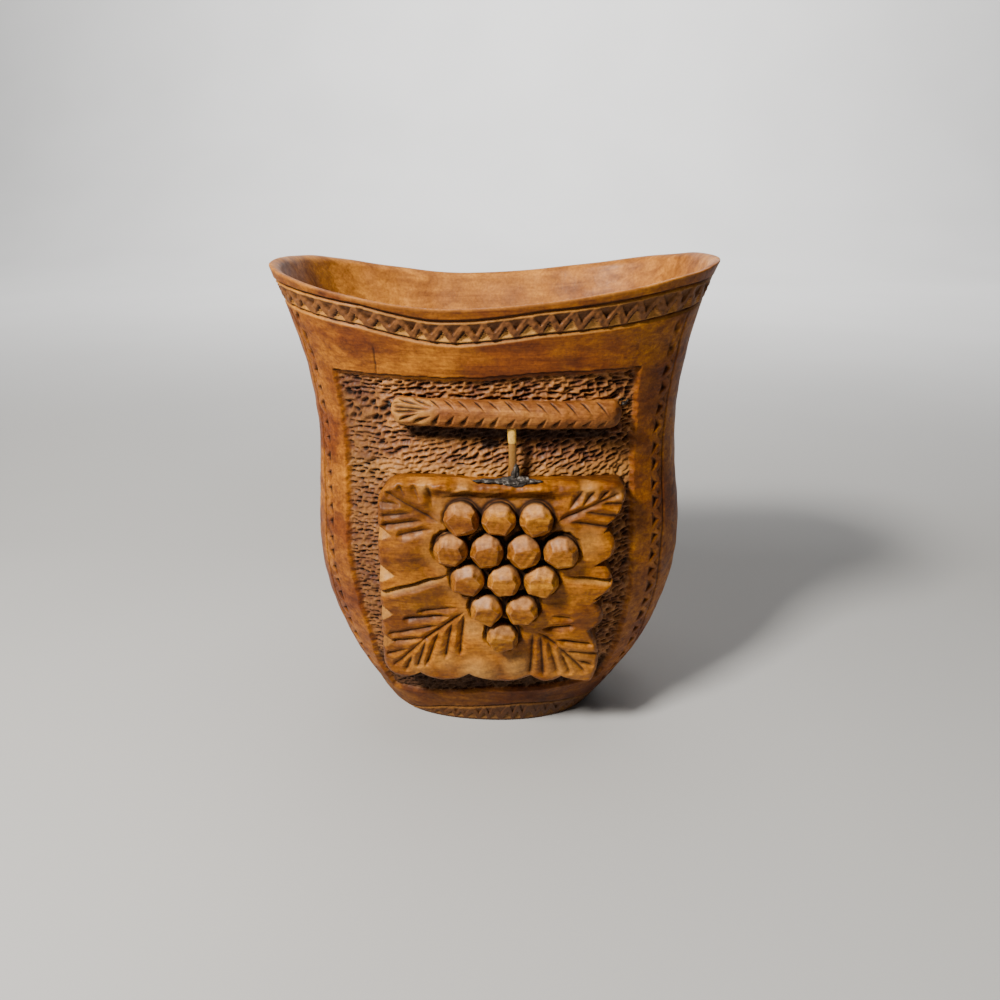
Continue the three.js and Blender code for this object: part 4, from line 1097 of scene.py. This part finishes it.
def vine_stem():
    """The bent splint between the branch and the plaque, with a dark mark round it."""
    top = np.array([
        STEM_PLACE, float(branch_y(STEM_PLACE)) - STEM_TOP_FORWARD,
        BRANCH_HEIGHT - BRANCH_RADIUS + STEM_SOCKET_DEPTH - 0.3,
    ])
    foot = np.array([
        STEM_PLACE,
        float(plaque_face(STEM_PLACE, PLAQUE_TOP)) + PLAQUE_TOP_STAND * STEM_FOOT_SHARE,
        PLAQUE_TOP - STEM_SOCKET_DEPTH + 0.3,
    ])
    mark = 0.68
    sides = 28
    turn = np.linspace(0, 2 * np.pi, sides, endpoint=False)
    rings, stains = [], []
    for step in np.linspace(0, 1, 90):
        centre = foot + (top - foot) * step
        centre[1] -= STEM_BOW * math.sin(math.pi * step)
        centre[0] += 0.15 * math.sin(math.pi * step * 1.3)
        notch = math.exp(-((step - mark) / 0.014) ** 2)
        thick = 1 + 0.06 * math.sin(step * 9) - 0.12 * notch
        rough = 1 + 0.05 * np.sin(turn * 3 + step * 4)
        rings.append(np.stack([
            centre[0] + STEM_WIDTH / 2 * thick * rough * np.cos(turn),
            centre[1] + STEM_THICKNESS / 2 * thick * rough * np.sin(turn),
            np.full(sides, centre[2]),
        ], -1))
        brown = 0.8 + 0.3 * float(share(1 - 1.6 * step / mark)) if step < mark else 0.0
        stains.append(np.full(sides, max(brown, notch)))
    return ring_mesh("stem_splint", np.stack(rings), {"dark": np.stack(stains)})


def glue_blob(name, centre, size, seed):
    """A small uneven drop of dried glue."""
    p, t = np.meshgrid(np.linspace(0.02, np.pi - 0.02, 24),
                       np.linspace(0, 2 * np.pi, 44, endpoint=False), indexing="ij")
    direction = np.stack([np.sin(p) * np.cos(t), np.sin(p) * np.sin(t), np.cos(p)], -1)
    a = direction[..., 0] * 2.2 + direction[..., 1]
    b = direction[..., 2] * 2.2 - direction[..., 1]
    lump = 1 + (0.18 * waves(a, b, 2.2, seed) + 0.06 * waves(a, b, 0.9, seed + 50)) * np.sin(p)
    points = np.array(centre) + direction * np.array(size) * lump[..., None]
    return ring_mesh(name, points[:, ::-1])


def glue_drops():
    """All the glue that shows: round the stem's foot and at the branch's two ends."""
    foot_y = float(plaque_face(STEM_PLACE, PLAQUE_TOP)) + 0.9
    drops = [
        glue_blob(f"glue_stem_{number}", (x, foot_y + y, PLAQUE_TOP + z), size, 300 + number)
        for number, (x, y, z, *size) in enumerate(GLUE_DROPS, 1)
    ]
    for number, (x, up) in enumerate(BRANCH_GLUE, 1):
        centre = (x, float(front_of(x, BRANCH_HEIGHT, -PANEL_DEPTH)), BRANCH_HEIGHT + up)
        drops.append(glue_blob(f"glue_branch_{number}", centre, BRANCH_GLUE_SIZE, 320 + number))
    return drops


# Materials


class Nodes:
    """A short way to build a node tree."""

    def __init__(self, name):
        self.material = bpy.data.materials.new(name)
        self.material.use_nodes = True
        self.tree = self.material.node_tree
        self.shader = self.tree.nodes["Principled BSDF"]

    def add(self, kind, inputs=None, **settings):
        node = self.tree.nodes.new(kind)
        for key, value in settings.items():
            setattr(node, key, value)
        for key, value in (inputs or {}).items():
            self.feed(node.inputs[key], value)
        return node

    def feed(self, socket, value):
        if isinstance(value, bpy.types.NodeSocket):
            self.tree.links.new(value, socket)
        elif isinstance(value, tuple) and socket.type == "RGBA":
            socket.default_value = (*value, 1)
        else:
            socket.default_value = value

    def noise(self, size_along, size_across, detail=3.0, rough=0.55, twist=0.0):
        """Noise whose features measure so many millimetres along X and across it."""
        where = self.add("ShaderNodeTexCoord").outputs["Object"]
        scale = (1 / (size_along * MM), 1 / (size_across * MM), 1 / (size_across * MM))
        place = self.add("ShaderNodeMapping", {"Vector": where, "Scale": scale})
        return self.add("ShaderNodeTexNoise", {
            "Vector": place.outputs["Vector"], "Scale": 1.0, "Detail": detail,
            "Roughness": rough, "Distortion": twist,
        }).outputs["Fac"]

    def ramp(self, value, *stops):
        node = self.add("ShaderNodeValToRGB", {"Fac": value})
        band = node.color_ramp
        while len(band.elements) < len(stops):
            band.elements.new(0.5)
        for element, (place, colour) in zip(band.elements, stops):
            element.position = place
            element.color = (*colour, 1)
        return node.outputs["Color"]

    def blend(self, value, first, second, mode="MIX"):
        node = self.add("ShaderNodeMix", data_type="RGBA", blend_type=mode)
        for key, item in ((0, value), (6, first), (7, second)):
            self.feed(node.inputs[key], item)
        return node.outputs[2]

    def math(self, kind, first, second):
        node = self.add("ShaderNodeMath", operation=kind)
        self.feed(node.inputs[0], first)
        self.feed(node.inputs[1], second)
        return node.outputs[0]

    def number(self, name, amount=1.0):
        value = self.add("ShaderNodeAttribute", attribute_name=name).outputs["Fac"]
        return value if amount == 1.0 else self.math("MULTIPLY", value, amount)

    def tint(self, amount, colour, field, tints):
        """A colour multiplied, by an amount, with the tints that a field picks."""
        return self.blend(amount, colour, self.ramp(field, *tints), "MULTIPLY")

    def finish(self, colour, numbers, *bumps):
        """Feed the shader its colour, its numbers and bumps of height, strength and distance."""
        normal = {}
        for height, strength, distance in bumps:
            inputs = {"Height": height, "Strength": strength, "Distance": distance, **normal}
            normal = {"Normal": self.add("ShaderNodeBump", inputs).outputs[0]}
        for key, value in {"Base Color": colour, **numbers, **normal}.items():
            self.feed(self.shader.inputs[key], value)
        return self.material


def body_colours(n, colour, blotches, patch, streaks):
    """The colours of the body's sunk ground, its dark bands and its inside."""
    ground = n.ramp(patch, (0.36, GROUND_DEEP), (0.62, GROUND_LIGHT))
    colour = n.blend(n.number("ground"), colour, ground)
    colour = n.blend(n.number("band", 0.75), colour, BAND_BROWN)
    within = n.blend(blotches, INSIDE_LIGHT, INSIDE_DEEP)
    within = n.tint(0.85, within, patch, PATCH_TINT)
    within = n.tint(0.7, within, streaks, STREAK_TINT)
    return n.blend(n.number("inside", 0.8), colour, within)


def wood(name, colours, rough=(0.46, 0.64), bare_and_lit=BARE_AND_LIT_WOOD, body=False):
    """Varnished wood: grain along X, blotches of stain, worn places and painted highlights, dark
    cuts of painted shade, fine pores.
    """
    n = Nodes(name)
    fibres = n.noise(9, 0.6, 4, 0.6, 0.4)
    streaks = n.noise(38, 2.6, 3, 0.5, 0.8)
    blotches = n.ramp(n.noise(26, 17, 3, 0.6, 0.3), (0.4, (0, 0, 0)), (0.62, (1, 1, 1)))
    patch = n.noise(7, 5, 3, 0.6, 0.5)
    pores = n.noise(3.2, 0.28, 2, 0.5)
    mottle = n.noise(2.6, 1.5, 4, 0.7, 0.6)
    speck = n.noise(0.8, 0.8, 2, 0.6)
    colour = n.blend(blotches, *colours)
    for amount, field, tints in (
        (0.8, patch, PATCH_TINT), (0.85, streaks, STREAK_TINT), (0.75, fibres, FIBRE_TINT),
        (0.7, mottle, MOTTLE_TINT), (0.5, pores, PORE_TINT),
    ):
        colour = n.tint(amount, colour, field, tints)
    if body:
        colour = body_colours(n, colour, blotches, patch, streaks)
    # paler where worn, and where light is painted on facets that face it
    colour = n.blend(n.number("bare_and_lit"), colour, bare_and_lit)
    colour = n.tint(0.5, colour, speck, SPECK_TINT)
    # darker by the dark number: painted shade, and real stain and glue
    colour = n.blend(n.number("dark", 0.95), colour, CUT_DARK)
    gloss = n.add("ShaderNodeMapRange", {
        "Value": n.noise(3.5, 3.5, 3), "From Min": 0.3, "From Max": 0.7,
        "To Min": rough[0], "To Max": rough[1],
    }).outputs[0]
    return n.finish(colour, {
        "Roughness": n.math("ADD", gloss, n.number("dark", 0.25)),
        "Coat Weight": 0.03, "Coat Roughness": 0.25, "Specular IOR Level": 0.22,
    }, (fibres, 0.45, 0.00016), (speck, 0.5, 0.00014))


def splint_wood():
    n = Nodes("splint_wood")
    fibres = n.noise(0.6, 0.6, 4, 0.6, 0.3)
    light, deep = SPLINT_COLOURS
    pale = n.ramp(fibres, (0.3, deep), (0.65, light))
    colour = n.blend(n.number("dark"), pale, SPLINT_MARK)
    return n.finish(colour, {"Roughness": 0.5, "Coat Weight": 0.1}, (fibres, 0.4, 0.00012))


def dried_glue():
    n = Nodes("dried_glue")
    cloud = n.noise(1.0, 1.0, 4, 0.6)
    return n.finish(n.ramp(cloud, *GLUE_TONES), {"Roughness": 0.6, "Specular IOR Level": 0.25},
                    (cloud, 0.5, 0.0002))


def studio_floor():
    n = Nodes("studio_floor")
    return n.finish(n.ramp(n.noise(250, 250, 2), *FLOOR_TONES), {"Roughness": 0.9})


def dress(piece, material, slot=None, *nodes):
    """Give a piece its material, tie it to the object and let it stand in for its solids."""
    piece.data.materials.append(material)
    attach(piece, "root")
    for node in nodes:
        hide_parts(node)


# Stage


def sweep():
    """A pale floor that curves up behind into a backdrop, in millimetres."""
    bend_start, bend, half_span, front, height = 1200, 800, 4000, -3000, 4000
    line = [(front, 0), (bend_start, 0)]
    for turn in np.linspace(0, np.pi / 2, 24)[1:]:
        line.append((bend_start + bend * math.sin(turn), bend * (1 - math.cos(turn))))
    line.append((bend_start + bend, height))
    points = np.array([(side, y, z) for side in (-half_span, half_span) for y, z in line])
    count = len(line)
    faces = [(i, count + i, count + i + 1, i + 1) for i in range(count - 1)]
    floor = make_mesh("studio_floor", points, faces)
    floor.data.materials.append(studio_floor())


def area_light(name, place, target, size, power, colour):
    data = bpy.data.lights.new(name, "AREA")
    data.shape = "RECTANGLE"
    data.size, data.size_y = size
    data.energy = power
    data.color = colour
    lamp = add_object(name, data)
    lamp.location = place
    lamp.rotation_euler = (Vector(target) - Vector(place)).to_track_quat("-Z", "Y").to_euler()


def camera():
    """The photograph's view, 22 degrees down, from two hands' breadths in front."""
    data = bpy.data.cameras.new("photo_view")
    data.sensor_width = CAMERA_SENSOR
    data.lens = CAMERA_LENS
    data.clip_start = 0.01
    data.clip_end = 20
    eye = add_object("photo_view", data)
    eye.location = CAMERA_PLACE
    eye.rotation_euler = (math.radians(CAMERA_TILT), 0, math.radians(CAMERA_TURN))
    bpy.context.scene.camera = eye


def world():
    sky = bpy.data.worlds.new("studio")
    sky.use_nodes = True
    shade = sky.node_tree.nodes["Background"]
    shade.inputs["Color"].default_value = SKY_COLOUR
    shade.inputs["Strength"].default_value = SKY_STRENGTH
    bpy.context.scene.world = sky


# The scene

body_wood = wood("body_wood", BODY_COLOURS, body=True)
applied_wood = wood("applied_wood", PLAQUE_COLOURS)
branch_wood = wood("branch_wood", BRANCH_COLOURS, rough=(0.56, 0.7))
grape_wood = wood("grape_wood", GRAPE_COLOURS, rough=(0.5, 0.66), bare_and_lit=BARE_AND_LIT_GRAPE)

dress(cup_body(), body_wood, "body_wood", "cup_body")
dress(leaf_plaque(), applied_wood, "plaque_wood", "leaf_plaque")
for number, (grape_x, grape_z) in enumerate(grape_seats(), 1):
    dress(grape(number, grape_x, grape_z), grape_wood, "grape_wood", f"grape_{number:02d}")
dress(grape_branch(), branch_wood, "branch_wood", "grape_branch")
dress(vine_stem(), splint_wood(), "splint_wood", "vine_stem")
glue = dried_glue()
for drop in glue_drops():
    dress(drop, glue)

sweep()
camera()
world()
for light in LIGHTS:
    area_light(*light)
